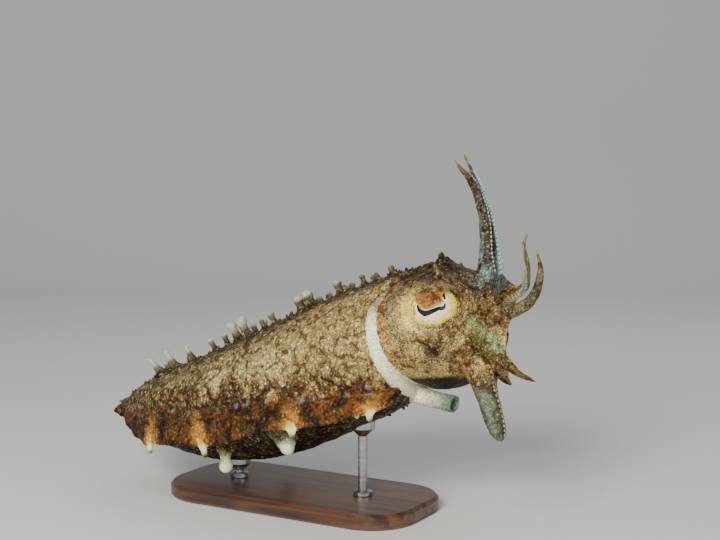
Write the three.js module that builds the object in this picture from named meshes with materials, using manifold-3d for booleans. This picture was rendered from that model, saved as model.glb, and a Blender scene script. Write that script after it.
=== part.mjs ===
// A life-size museum model of a cuttlefish, swimming with its first arms raised, on a plain display stand.
// Millimetres, +Z up, +X towards the head, +Y to the animal's left.
// The origin is the middle of the underside of the stand's base.
import * as THREE from 'three';
import { mergeVertices } from 'three/addons/utils/BufferGeometryUtils.js';
import Module from 'manifold-3d';

const wasm = await Module();
wasm.setup();

// Driving dimensions

const GAP = 0.35;

const MANTLE = {
  length: 266,
  tail: [-210, 0, -64],
  pitch: 18,
  start: 5,
  marginSide: 234.5,
  marginBelly: 231,
  lobeSpread: 33,
  lip: 5,
  recess: 13,
  sides: 28,
  rings: 16,
};

const HEAD = { neck: [17.6, -5, 2.6], pitch: 8, yaw: 12, start: -20, front: 56, sides: 28, rings: 12 };

const EYE = {
  centre: [28, 32, 16.5],
  radius: 16,
  gaze: [0.2, 0.96, 0.18],
  openingHalf: [12.2, 8.8],
  lid: 2,
  flapHalf: 8.6,
  pupilHalf: 8.5,
  pupilDepth: 1.2,
  swell: 5.5,
  swellReach: 21,
};

// The keel under the head that the funnel lies against
const THROAT = { depth: 6.5, middle: 20, length: 24, spread: 32 };

// The pale collar of the neck, just inside the mantle's free edge
const COLLAR = { radius: 4.6, topRadius: 1.4, inset: 6.2, ahead: 1.6, sides: 5 };

const ARM = {
  sides: 9,
  rings: 12,
  split: 0.46,
  depth: 0.78,
  suckerPairs: 5,
  suckerRadius: 1.7,
  crownRadius: 20.5,
};

const FIN = { from: -4, to: 243, width: 28, rootThick: 4.2, edgeThick: 1.7, columns: 3, rings: 20 };

const STAND = {
  length: 180,
  width: 86,
  height: 10,
  corner: 30,
  chamfer: 2,
  rodRadius: 3,
  padRadius: 8,
  padHeight: 8,
  rodsAt: [[-112, 0], [-16, 0]],
};

// Where the animal's own frame stands above the middle of the base
const ANIMAL_AT = new THREE.Vector3(62, 0, 114);

// Small helpers

const TAU = 2 * Math.PI;
const rad = (degrees) => (degrees * Math.PI) / 180;
const mix = (a, b, t) => a + (b - a) * t;
const bell = (x, centre, width) => Math.exp(-(((x - centre) / width) ** 2));
const power = (x, p) => Math.sign(x) * Math.abs(x) ** p;
const vec = (p) => new THREE.Vector3(...p);
const range = (n) => Array.from({ length: n }, (_, i) => i);
const offAngle = (angle, from) => Math.atan2(Math.sin(angle - from), Math.cos(angle - from));

// The same numbers on every run, between 0 and 1
function seeded(seed) {
  let state = seed;
  return () => {
    state = (state * 1664525 + 1013904223) % 4294967296;
    return state / 4294967296;
  };
}

// A smooth curve through a few [position, value] stations that never overshoots them
function profile(stations) {
  const xs = stations.map(([x]) => x);
  const ys = stations.map(([, y]) => y);
  const last = xs.length - 1;
  const rise = range(last).map((i) => (ys[i + 1] - ys[i]) / (xs[i + 1] - xs[i]));
  const slope = range(last + 1).map((i) => {
    if (i === 0) return rise[0];
    if (i === last) return rise[last - 1];
    if (rise[i - 1] * rise[i] <= 0) return 0;
    return (2 * rise[i - 1] * rise[i]) / (rise[i - 1] + rise[i]);
  });
  return (x) => {
    const at = Math.min(Math.max(x, xs[0]), xs[last]);
    let i = 0;
    while (i < last - 1 && at > xs[i + 1]) i++;
    const span = xs[i + 1] - xs[i];
    const t = (at - xs[i]) / span;
    return (
      ys[i] * (1 + 2 * t) * (1 - t) ** 2 +
      slope[i] * span * t * (1 - t) ** 2 +
      ys[i + 1] * t * t * (3 - 2 * t) +
      slope[i + 1] * span * t * t * (t - 1)
    );
  };
}

// A profile whose value rises like a square root from a rounded tip at its first station
function roundedProfile(stations) {
  const from = stations[0][0];
  const curve = profile(stations.map(([x, y]) => [Math.sqrt(x - from), y]));
  return (x) => curve(Math.sqrt(Math.max(x - from, 0)));
}

// Closed bodies

function bodyOf(points, triangles) {
  const geometry = new THREE.BufferGeometry();
  const numbers = points.flatMap((p) => [p.x, p.y, p.z]);
  geometry.setAttribute('position', new THREE.Float32BufferAttribute(numbers, 3));
  geometry.setIndex(triangles.flat());
  return geometry;
}

function volumeOf(points, triangles) {
  const cross = new THREE.Vector3();
  const part = ([a, b, c]) => points[a].dot(cross.crossVectors(points[b], points[c])) / 6;
  return triangles.reduce((sum, triangle) => sum + part(triangle), 0);
}

function facingOut(points, triangles) {
  const turned = volumeOf(points, triangles) < 0 ? triangles.map(([a, b, c]) => [a, c, b]) : triangles;
  return bodyOf(points, turned);
}

// A body through rings of points, closed by a fan to a point at each end
function loft(rings, startPoint, endPoint) {
  const sides = rings[0].length;
  const points = [...rings.flat(), startPoint, endPoint];
  const start = points.length - 2;
  const end = points.length - 1;
  const last = (rings.length - 1) * sides;
  const triangles = [];
  for (const i of range(rings.length - 1)) {
    for (const j of range(sides)) {
      const a = i * sides + j;
      const b = i * sides + ((j + 1) % sides);
      triangles.push([a, b, b + sides], [a, b + sides, a + sides]);
    }
  }
  for (const j of range(sides)) {
    const next = (j + 1) % sides;
    triangles.push([start, next, j], [end, last + j, last + next]);
  }
  return facingOut(points, triangles);
}

// A thin sheet body between two grids of points, with the same triangles on both faces
function slab(upper, lower) {
  const rows = upper.length;
  const columns = upper[0].length;
  const points = [...upper.flat(), ...lower.flat()];
  const below = rows * columns;
  const triangles = [];
  for (const i of range(rows - 1)) {
    for (const k of range(columns - 1)) {
      const a = i * columns + k;
      const [b, c, d] = [a + 1, a + columns, a + columns + 1];
      triangles.push([a, b, d], [a, d, c]);
      triangles.push([below + a, below + d, below + b], [below + a, below + c, below + d]);
    }
  }
  const edge = [
    ...range(columns - 1).map((k) => k),
    ...range(rows - 1).map((i) => i * columns + columns - 1),
    ...range(columns - 1).map((k) => rows * columns - 1 - k),
    ...range(rows - 1).map((i) => (rows - 1 - i) * columns),
  ];
  edge.forEach((a, i) => {
    const b = edge[(i + 1) % edge.length];
    triangles.push([a, below + b, b], [a, below + a, below + b]);
  });
  return facingOut(points, triangles);
}

function merged(geometry) {
  const bare = new THREE.BufferGeometry();
  bare.setAttribute('position', geometry.getAttribute('position'));
  bare.setIndex(geometry.index);
  const joined = mergeVertices(bare, 1e-4);
  const kept = [];
  const index = joined.index.array;
  for (let i = 0; i < index.length; i += 3) {
    const [a, b, c] = index.slice(i, i + 3);
    if (a !== b && b !== c && c !== a) kept.push(a, b, c);
  }
  joined.setIndex(kept);
  return joined;
}

function solid(geometry) {
  const closed = merged(geometry);
  return new wasm.Manifold(
    new wasm.Mesh({
      numProp: 3,
      vertProperties: closed.getAttribute('position').array,
      triVerts: new Uint32Array(closed.index.array),
    }),
  );
}

// The same body grown by a distance along its normals, to cut a neighbour clear of it
function grown(geometry, distance) {
  const wide = merged(geometry);
  wide.computeVertexNormals();
  const place = wide.getAttribute('position');
  const normal = wide.getAttribute('normal');
  for (const i of range(place.count)) {
    place.setXYZ(
      i,
      place.getX(i) + normal.getX(i) * distance,
      place.getY(i) + normal.getY(i) * distance,
      place.getZ(i) + normal.getZ(i) * distance,
    );
  }
  return solid(wide);
}

function joined(bodies) {
  return bodies.reduce((sum, body) => sum.add(body));
}

// Only the largest closed surface is kept after a cut or a join
function largest(body) {
  return body.decompose().reduce((a, b) => (b.volume() > a.volume() ? b : a));
}

function geometryOf(body) {
  const mesh = largest(body).getMesh();
  const geometry = new THREE.BufferGeometry();
  geometry.setAttribute('position', new THREE.BufferAttribute(new Float32Array(mesh.vertProperties), 3));
  geometry.setIndex(new THREE.BufferAttribute(new Uint32Array(mesh.triVerts), 1));
  geometry.computeVertexNormals();
  return geometry;
}

function matrixTo(place, pitchDegrees, yawDegrees = 0) {
  const pitch = new THREE.Matrix4().makeRotationY(-rad(pitchDegrees));
  return pitch.premultiply(new THREE.Matrix4().makeRotationZ(rad(yawDegrees))).setPosition(vec(place));
}

const mantleFrame = matrixTo(MANTLE.tail, MANTLE.pitch);
const headFrame = matrixTo(HEAD.neck, HEAD.pitch, HEAD.yaw);

// A round form turned round the Y axis from its outline of [radius, height] points
function latheOf(outline, sides) {
  return new THREE.LatheGeometry(outline.map(([r, y]) => new THREE.Vector2(r, y)), sides);
}

// A small form turned round the Y axis, moved to stand on a point and lean along a direction
function standing(geometry, point, direction) {
  const upright = new THREE.Vector3(0, 1, 0);
  const turn = new THREE.Quaternion().setFromUnitVectors(upright, direction.clone().normalize());
  return geometry.applyQuaternion(turn).translate(point.x, point.y, point.z);
}

// A raised skin papilla with its root sunk below the skin: knob 1 ends in a round knob, 0 in a point
function papilla(point, direction, height, radius, knob = 1) {
  const outline = [
    [0, -0.4 * height - 1.5],
    [radius * 1.5, -0.4 * height - 1.5],
    [radius * 0.85, height * 0.4],
    [radius * mix(0.5, 1, knob), height * 0.76],
    [radius * mix(0.15, 0.6, knob), height * 0.97],
    [0, height],
  ];
  return solid(standing(latheOf(outline, radius > 2.4 ? 6 : 5), point, direction));
}

// The mantle: a rounded tail, a wide belly and a free front edge with a lobe over the head

const mantleHalfWidth = roundedProfile([
  [5, 0], [12, 11], [27, 22], [65, 38.5], [102, 47.5],
  [138, 52], [173, 54], [205, 53.5], [237, 50], [266, 44],
]);
const mantleTop = roundedProfile([
  [5, 0], [12, 8.5], [27, 14], [65, 22], [102, 28.5],
  [138, 34.5], [173, 38.5], [205, 40], [237, 38.5], [266, 36.5],
]);
const mantleBottom = roundedProfile([
  [5, 0], [12, 14], [20, 22], [33, 30], [59, 41], [94, 48],
  [122, 49.5], [147, 48], [177, 44.5], [206, 41.5], [237, 37.5], [266, 31],
]);
const mantleAxis = profile([[0, -1], [40, -5], [102, -11], [150, -13], [205, -11], [266, -6]]);

function mantleSection(x, angle, inset = 0) {
  const c = power(Math.cos(angle), 0.9);
  const s = power(Math.sin(angle), 0.94);
  const reach = s > 0 ? mantleTop(x) : mantleBottom(x);
  return new THREE.Vector3(x, (mantleHalfWidth(x) - inset) * c, mantleAxis(x) + (reach - inset) * s);
}

// How far forward the mantle's free edge lies: furthest at the back's midline, least at the belly's
function marginAt(angle) {
  const { length, marginSide, marginBelly, lobeSpread } = MANTLE;
  const lobe = (length - marginSide) * bell(offAngle(angle, Math.PI / 2), 0, rad(lobeSpread));
  const notch = (marginSide - marginBelly) * bell(offAngle(angle, -Math.PI / 2), 0, rad(28));
  return marginSide + lobe - notch;
}

const mantleAngles = range(MANTLE.sides).map((j) => (TAU * j) / MANTLE.sides);

function mantleRing(share, inset = 0, forward = 0) {
  return mantleAngles.map((angle) => {
    const x = mix(MANTLE.start, marginAt(angle), share);
    const point = mantleSection(x, angle, inset);
    point.x += forward;
    return point;
  });
}

function mantleBody() {
  const outer = range(MANTLE.rings).map((i) => mantleRing(((i + 1) / MANTLE.rings) ** 2 * 0.985));
  const lip = [mantleRing(1, MANTLE.lip * 0.3, 0), mantleRing(1, MANTLE.lip * 0.8, -1)];
  const inside = [
    mantleRing(1, MANTLE.lip * 1.1, -MANTLE.recess * 0.5),
    mantleRing(1, MANTLE.lip * 1.4, -MANTLE.recess),
  ];
  const tail = new THREE.Vector3(MANTLE.start, 0, mantleAxis(0));
  const floor = new THREE.Vector3(MANTLE.marginSide - MANTLE.recess - 4, 0, mantleAxis(MANTLE.marginSide));
  return loft([...outer, ...lip, ...inside], tail, floor).applyMatrix4(mantleFrame);
}

// A point on the mantle's skin and its outward direction, in the animal's frame
function onMantle(x, angle) {
  const step = 0.5;
  const at = mantleSection(x, angle);
  const along = mantleSection(x + step, angle).sub(mantleSection(x - step, angle));
  const round = mantleSection(x, angle + 0.02).sub(mantleSection(x, angle - 0.02));
  const normal = round.cross(along).normalize();
  if (normal.dot(new THREE.Vector3(0, Math.cos(angle), Math.sin(angle))) < 0) normal.negate();
  return { point: at.applyMatrix4(mantleFrame), normal: normal.transformDirection(mantleFrame) };
}

// Papillae of the back: [distance from the tail, degrees off the midline, height, radius, lean to the tail]
const BACK_PAPILLAE = [
  [46, 12, 13, 1.9, 0.5], [60, 14, 12.5, 2.2, 0.15], [81, 20, 6, 2, 0], [100, 14, 8, 1.8, 0.2],
  [108, 10, 7.5, 2, 0], [117, 9, 11.5, 2.9, 0.1], [127, 12, 11.5, 3.3, 0], [140, 10, 5.5, 1.5, 0],
  [149, 10, 7.5, 2, 0], [174, 12, 8, 2.9, 0], [182, 13, 9, 3.4, 0], [204, 11, 7.5, 2.8, 0],
  [211, 16, 4.5, 2.6, 0.2], [221, 9, 6, 1.9, 0], [233, 13, 4.5, 2, 0], [243, 11, 5.5, 2.3, 0],
];

// Larger papillae of the flanks: [distance from the tail, degrees below the side, height, radius]
const FLANK_PAPILLAE = [[100, 48, 15, 4], [154, 44, 14, 7.5], [205, 52, 5, 3]];

function mantlePapillae() {
  const random = seeded(7);
  const rearwards = new THREE.Vector3(-1, 0, 0).transformDirection(mantleFrame);
  const made = [];
  for (const side of [-1, 1]) {
    for (const [x, off, height, radius, lean] of BACK_PAPILLAE) {
      const shift = side > 0 ? mix(-6, 2, random()) : 0;
      const size = side > 0 ? mix(0.6, 0.85, random()) : 1;
      const { point, normal } = onMantle(x + shift, Math.PI / 2 - side * rad(off));
      made.push(papilla(point, normal.addScaledVector(rearwards, lean), height * size, radius * size));
    }
    for (const [x, off, height, radius] of FLANK_PAPILLAE) {
      const { point, normal } = onMantle(x, side < 0 ? Math.PI + rad(off) : -rad(off));
      made.push(papilla(point, normal.add(new THREE.Vector3(0.6, 0, -0.9)), height, radius));
    }
  }
  return made;
}

// The head: a neck that comes out of the mantle, a bulge round each eye and a crown for the arms

const headHalfWidth = profile([
  [-20, 38], [-6, 41], [5, 42], [16, 43], [30, 42.5], [41, 37], [49, 31], [56, 24],
]);
const headTop = profile([
  [-20, 27], [-6, 33], [5, 35.5], [15, 38], [23, 39], [33, 38.5], [43, 35.5], [50, 32], [56, 25],
]);
const headBottom = profile([
  [-20, 22], [-6, 25], [6, 26], [16, 29], [32, 30], [44, 28], [51, 25], [56, 20],
]);

function headSection(x, angle, inset = 0) {
  const c = power(Math.cos(angle), 0.92);
  const s = power(Math.sin(angle), 0.92);
  const down = offAngle(angle, -Math.PI / 2);
  const keel = THROAT.depth * bell(down, 0, rad(THROAT.spread)) * bell(x, THROAT.middle, THROAT.length);
  const reach = (s > 0 ? headTop(x) : headBottom(x)) + keel;
  const point = new THREE.Vector3(x, (headHalfWidth(x) - inset) * c, (reach - inset) * s);
  const [ex, ey, ez] = EYE.centre;
  const offEye = point.distanceTo(new THREE.Vector3(ex, Math.sign(c) * (ey + 12), ez));
  const swell = EYE.swell * bell(offEye, 0, EYE.swellReach) * Math.abs(c);
  return point.addScaledVector(new THREE.Vector3(0.15, Math.sign(c), 0.25).normalize(), swell);
}

const headAngles = range(HEAD.sides).map((j) => (TAU * j) / HEAD.sides);
const headRing = (x, inset = 0, back = 0) =>
  headAngles.map((angle) => {
    const point = headSection(x, angle, inset);
    point.x -= back;
    return point;
  });

function headBody() {
  const outer = range(HEAD.rings + 1).map((i) => headRing(mix(HEAD.start, HEAD.front, i / HEAD.rings)));
  const bowl = [headRing(HEAD.front, 6, -1.5), headRing(HEAD.front, 11, 2)];
  const start = new THREE.Vector3(HEAD.start, 0, 0);
  const end = new THREE.Vector3(HEAD.front - 4, 0, 0);
  return loft([...outer, ...bowl], start, end).applyMatrix4(headFrame);
}

// The pale collar that bulges out of the mantle's mouth, thick at the sides and below, thin under the lobe
function collarBody() {
  const { radius, topRadius, inset, ahead, sides } = COLLAR;
  const points = [];
  for (const angle of mantleAngles) {
    const size = mix(radius, topRadius, bell(offAngle(angle, Math.PI / 2), 0, rad(48)));
    const x = marginAt(angle);
    const centre = mantleSection(x, angle, inset);
    const outwards = mantleSection(x, angle).sub(centre).normalize();
    for (const k of range(sides)) {
      const turn = (TAU * k) / sides;
      const point = centre.clone().addScaledVector(outwards, size * Math.cos(turn));
      point.x += ahead + size * Math.sin(turn);
      points.push(point.applyMatrix4(mantleFrame));
    }
  }
  const triangles = [];
  for (const i of range(mantleAngles.length)) {
    for (const k of range(sides)) {
      const a = i * sides + k;
      const b = i * sides + ((k + 1) % sides);
      const [c, d] = [a, b].map((n) => (n + sides) % points.length);
      triangles.push([a, b, d], [a, d, c]);
    }
  }
  return facingOut(points, triangles);
}

function eyeFrame(side) {
  const [ex, ey, ez] = EYE.centre;
  const gaze = new THREE.Vector3(EYE.gaze[0], side * EYE.gaze[1], EYE.gaze[2]).normalize();
  const across = new THREE.Vector3(0, 0, 1).cross(gaze).normalize();
  const upward = gaze.clone().cross(across).normalize();
  const frame = new THREE.Matrix4().makeBasis(across, upward, gaze).setPosition(ex, side * ey, ez);
  return frame.premultiply(headFrame);
}

function eyeball(radius) {
  return new THREE.SphereGeometry(radius, 16, 10).rotateX(Math.PI / 2);
}

// The outline of a W-shaped pupil, its two ends turned up
function pupilShape() {
  const half = EYE.pupilHalf;
  const middle = (u) => -3.4 + 6.5 * Math.abs(u) ** 4 + 0.6 * Math.cos(u * Math.PI * 1.6);
  const thick = (u) => 1.4 + 0.9 * Math.abs(u) ** 4;
  const across = range(11).map((i) => mix(-1, 1, i / 10));
  const upper = across.map((u) => new THREE.Vector2(u * half, middle(u) + thick(u)));
  const lower = across.map((u) => new THREE.Vector2(u * half, middle(u) - thick(u))).reverse();
  return new THREE.Shape([...upper, ...lower]);
}

function eyeSolid(side) {
  const ball = solid(eyeball(EYE.radius));
  const groove = new THREE.ExtrudeGeometry(pupilShape(), { depth: 12, bevelEnabled: false });
  const floor = solid(eyeball(EYE.radius - EYE.pupilDepth));
  const cut = solid(groove.translate(0, 0, EYE.radius * 0.5)).subtract(floor);
  return geometryOf(ball.subtract(cut)).applyMatrix4(eyeFrame(side));
}

// The lids: a skin dome a little larger than the eyeball, open in front where the eye shows
function lidDome(side) {
  return eyeball(EYE.radius + EYE.lid).applyMatrix4(eyeFrame(side));
}

// The opening between the lids: an oval with a scalloped flap hanging into it from above
function eyeOpening(side) {
  const [halfWide, halfHigh] = EYE.openingHalf;
  const round = range(15).map((i) => {
    const angle = mix(rad(135), rad(405), i / 14);
    return new THREE.Vector2(halfWide * Math.cos(angle), halfHigh * Math.sin(angle));
  });
  const flap = range(7).map((i) => {
    const u = mix(1, -1, i / 6);
    return new THREE.Vector2(EYE.flapHalf * u, -1 + 0.5 * Math.cos(u * Math.PI * 2) + 2.4 * u ** 6);
  });
  const shape = new THREE.Shape([...round, ...flap]);
  const bore = new THREE.ExtrudeGeometry(shape, { depth: 16, bevelEnabled: false });
  return solid(bore.translate(0, 0, EYE.radius * 0.4).applyMatrix4(eyeFrame(side)));
}

// Brow horns over each eye and warts of the face: [x, degrees from the side towards the top, height, radius]
const HEAD_PAPILLAE = [
  [30, 84, 9, 5], [32, 60, 10, 3.2], [44, 60, 4, 2], [48, 42, 3.5, 1.8], [8, 40, 3.5, 1.8],
];

function headPapillae() {
  const made = [];
  for (const side of [-1, 1]) {
    for (const [x, up, height, radius] of HEAD_PAPILLAE) {
      const angle = side < 0 ? Math.PI - rad(up) : rad(up);
      const point = headSection(x, angle).applyMatrix4(headFrame);
      const direction = new THREE.Vector3(-0.1, Math.cos(angle) * 0.6, 1);
      made.push(papilla(point, direction, side < 0 ? height : height * 0.65, radius, 0));
    }
  }
  return made;
}

// The funnel: a soft tube under the neck, open in front

const FUNNEL_PATH = new THREE.CatmullRomCurve3([
  vec([-3, 0, -21]), vec([9, -2, -29]), vec([20, -4, -33.5]),
  vec([30, -5, -35.3]), vec([41.5, -6, -36.8]), vec([52, -6.5, -37.8]),
]);
const funnelHalfWidth = profile([[0, 15], [0.25, 12], [0.5, 7.6], [0.8, 6], [1, 6.2]]);
const funnelHalfHeight = profile([[0, 8], [0.25, 6.6], [0.5, 5.5], [0.8, 5], [1, 5.3]]);

function funnelRing(t, inset = 0) {
  const centre = FUNNEL_PATH.getPoint(t);
  const ahead = FUNNEL_PATH.getTangent(t);
  const across = new THREE.Vector3(0, 0, 1).cross(ahead).normalize();
  const upward = ahead.clone().cross(across);
  return range(14).map((j) => {
    const angle = (TAU * j) / 14;
    return centre
      .clone()
      .addScaledVector(across, (funnelHalfWidth(t) - inset) * Math.cos(angle))
      .addScaledVector(upward, (funnelHalfHeight(t) - inset) * Math.sin(angle));
  });
}

function funnelBody() {
  const outer = range(9).map((i) => funnelRing(i / 8));
  const inner = [funnelRing(0.995, 1.6), funnelRing(0.93, 2.4), funnelRing(0.75, 2.8)];
  return loft([...outer, ...inner], FUNNEL_PATH.getPoint(0), FUNNEL_PATH.getPoint(0.72));
}

// The arms: tapered, flattened on the mouth side, with two rows of suckers out to the tip.
// Each leaves the crown at an angle from the top of the head, then follows its own bend.
// The widths are [share of the arm's length, half its width]. Lean turns the suckers towards the front,
// and inward towards the animal's middle.

const ARMS = {
  arm_1_right: {
    crown: 24,
    lean: 1,
    inward: 0.8,
    path: [
      [71.6, -8, 35], [71, -5.6, 53], [70.2, -5.4, 71], [66.2, -5.4, 87], [60, -5.4, 98],
      [55, -6, 103.5], [50, -7, 110.2],
    ],
    widths: [[0, 9], [0.3, 7.4], [0.45, 4.6], [0.65, 4], [0.82, 2.8], [0.92, 1.6], [1, 0.5]],
  },
  arm_1_left: {
    crown: 24,
    lean: 1,
    path: [
      [70.6, 8, 35], [72.3, 5.6, 52.5], [69.5, 4.8, 70], [64.5, 4.6, 85.5], [59.3, 4.6, 98],
      [55.5, 4.6, 105.5], [50.7, 5, 113.2],
    ],
    widths: [[0, 9], [0.3, 7.4], [0.45, 4.6], [0.65, 4], [0.82, 2.8], [0.92, 1.6], [1, 0.5]],
  },
  arm_2_right: {
    crown: 66,
    lean: -0.4,
    path: [
      [84, -24.5, 20.5], [93, -27, 22.6], [101, -28.5, 25], [108.5, -30, 29.5], [114.6, -32, 39],
      [116, -32, 49], [113.6, -32, 59.3],
    ],
    widths: [[0, 9], [0.28, 7.6], [0.42, 5.2], [0.56, 3.8], [0.75, 2.8], [0.9, 1.7], [1, 0.5]],
  },
  arm_2_left: {
    crown: 66,
    lean: -0.4,
    path: [
      [75, 21, 25.5], [80.5, 22, 28.8], [84, 23.5, 33.5], [85, 24.5, 42], [82.8, 26, 52.5],
      [82, 26, 59], [84.8, 25, 64.5],
    ],
    widths: [[0, 9], [0.28, 6.8], [0.45, 3.4], [0.6, 2.6], [0.8, 1.9], [0.92, 1.2], [1, 0.4]],
  },
  arm_3_right: {
    crown: 111,
    lean: 0.3,
    path: [[83, -25.5, 3], [91, -29.5, -2.8], [98, -32, -7], [105, -34, -10.6], [115.3, -36, -13.8]],
    widths: [[0, 9.6], [0.4, 8.6], [0.55, 6.4], [0.7, 4.2], [0.85, 2.4], [1, 0.5]],
  },
  arm_3_left: {
    crown: 111,
    lean: 0.3,
    path: [[64, 22, -8], [69, 20, -17], [74, 16, -23], [80.5, 12, -26.2]],
    widths: [[0, 9.6], [0.4, 7.8], [0.6, 6.4], [0.8, 4.2], [1, 0.5]],
  },
  arm_4_right: {
    crown: 134,
    lean: 0.9,
    path: [
      [73, -22, -8], [78.5, -25.5, -16], [82, -27.5, -23.5], [85, -29, -29], [88, -30, -36.5],
      [90.5, -30, -44.5], [92.5, -29.5, -50.6],
    ],
    widths: [[0, 9.6], [0.3, 12], [0.5, 11], [0.65, 9], [0.85, 8], [0.94, 6.4], [1, 3.4]],
  },
  arm_4_left: {
    crown: 157,
    lean: 0.9,
    path: [
      [64, 18, -9], [63, 18.5, -18], [62.5, 18, -27], [64, 17, -34], [67, 15.5, -41],
      [70.5, 13.5, -47],
    ],
    widths: [[0, 9.6], [0.3, 9.4], [0.5, 8.2], [0.65, 7], [0.85, 6], [0.94, 4.6], [1, 2.4]],
  },
};

const mouthAxis = new THREE.Vector3(1, 0, 0).transformDirection(headFrame);
const crownCentre = new THREE.Vector3(HEAD.front, 0, 0).applyMatrix4(headFrame);

function crownPoint(x, degrees, radius, side) {
  const angle = rad(degrees);
  const [across, up] = [radius * Math.sin(angle), radius * Math.cos(angle)];
  return new THREE.Vector3(x, side * across, up).applyMatrix4(headFrame);
}

// The arm's middle point, forward direction, sideways direction and the direction of its suckers
function armStation(curve, arm, t) {
  const centre = curve.getPointAt(t);
  const ahead = curve.getTangentAt(t);
  const outwards = centre.clone().sub(crownCentre);
  outwards.addScaledVector(mouthAxis, -outwards.dot(mouthAxis)).normalize();
  const reference = mouthAxis.clone().multiplyScalar(arm.lean).addScaledVector(outwards, -0.7);
  reference.y += (arm.inward ?? 0);
  const oral = reference.addScaledVector(ahead, -reference.dot(ahead)).normalize();
  return { centre, ahead, oral, side: ahead.clone().cross(oral) };
}

function armRing(curve, arm, t) {
  const { centre, oral, side } = armStation(curve, arm, t);
  const half = profile(arm.widths)(t);
  return range(ARM.sides).map((j) => {
    const angle = (TAU * (j + 0.5)) / ARM.sides;
    const flat = Math.sin(angle) > 0 ? 0.66 : 1;
    return centre
      .clone()
      .addScaledVector(side, half * power(Math.cos(angle), 0.85))
      .addScaledVector(oral, half * ARM.depth * flat * Math.sin(angle));
  });
}

// The webs of skin between the roots of neighbouring arms: each pair, and how far out its free edge lies
const WEBS = { arm_2: 44, arm_3: 62, arm_4: 48 };
const WEB = { from: 14, drawBack: 3, thick: 4.4, edgeThick: 1.6, out: 0.2, rows: 2, columns: 2, most: 0.66 };

function webPoint(first, second, along, u, lift) {
  const [a, b] = [first, second].map(({ curve, arm }) => {
    const t = along / curve.getLength();
    const { centre, oral } = armStation(curve, arm, t);
    return { centre, oral, half: profile(arm.widths)(t) };
  });
  const oral = a.oral.lerp(b.oral, u).normalize();
  return a.centre.lerp(b.centre, u).addScaledVector(oral, -lift - mix(a.half, b.half, u) * WEB.out);
}

function webBody(first, second, reach) {
  const longest = Math.min(reach, ...[first, second].map(({ curve }) => WEB.most * curve.getLength()));
  const face = (side) => range(WEB.rows + 1).map((i) => range(WEB.columns + 1).map((k) => {
    const u = k / WEB.columns;
    const along = mix(WEB.from, longest - WEB.drawBack * Math.sin(Math.PI * u), i / WEB.rows);
    const thick = mix(WEB.thick, WEB.edgeThick, i / WEB.rows);
    return webPoint(first, second, along, u, (side * thick) / 2);
  }));
  return slab(face(1), face(-1));
}

function sucker(point, direction, radius) {
  const foot = -radius * 1.4;
  const outline = [[0, foot], [radius * 0.75, foot], [radius, radius * 0.7], [0, radius * 0.15]];
  return solid(standing(latheOf(outline, 5), point, direction));
}

// Two rows of suckers between two shares of the arm's length, made wider to cut a neighbour clear of them
function armSuckers(curve, arm, from, to, wider = 0) {
  const made = [];
  for (const i of range(ARM.suckerPairs)) {
    const t = mix(0.36, 0.96, (i + 0.5) / ARM.suckerPairs);
    if (t < from || t > to) continue;
    const { centre, oral, side } = armStation(curve, arm, t);
    const half = profile(arm.widths)(t);
    for (const row of [-1, 1]) {
      const point = centre
        .clone()
        .addScaledVector(side, row * half * 0.42)
        .addScaledVector(oral, half * ARM.depth * 0.6);
      const radius = Math.min(ARM.suckerRadius, 0.25 + half * 0.32);
      made.push(sucker(point, oral, radius + wider));
    }
  }
  return made;
}

function armCurve(name, arm) {
  const side = name.endsWith('right') ? -1 : 1;
  const crown = [[34, 14], [44, ARM.crownRadius - 1.5], [51, ARM.crownRadius]];
  const start = crown.map(([x, radius]) => crownPoint(x, arm.crown, radius, side));
  return new THREE.CatmullRomCurve3([...start, ...arm.path.map(vec)], false, 'centripetal');
}

function armLength(curve, arm, from, to) {
  const steps = Math.round(ARM.rings * (to - from));
  const rings = range(steps + 1).map((i) => armRing(curve, arm, mix(from, to, i / steps)));
  const tip = curve.getPointAt(to).addScaledVector(curve.getTangentAt(to), to === 1 ? 1 : 0);
  const body = loft(rings, curve.getPointAt(from), tip);
  const whole = joined([solid(body), ...armSuckers(curve, arm, from, to)]);
  const wide = joined([grown(body, GAP), ...armSuckers(curve, arm, from, to, GAP)]);
  return { whole, wide };
}

// The fins: a soft ribbon down each side of the mantle, hanging down and waving

const finRoot = profile([
  [-4, 0], [8, -2], [39, -4], [71, -6.5], [126, -13.5], [181, -24], [210, -29.5], [243, -38],
]);
const finWidth = profile([
  [0, 0.15], [0.05, 0.4], [0.2, 0.95], [0.42, 1], [0.62, 0.8], [0.85, 0.55], [0.95, 0.45], [1, 0.25],
]);
const finDroop = {
  '-1': profile([[0, 40], [0.12, 64], [0.4, 66], [0.7, 56], [1, 36]]),
  '1': profile([[0, -60], [0.1, -30], [0.25, 40], [0.5, 58], [1, 36]]),
};

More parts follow.
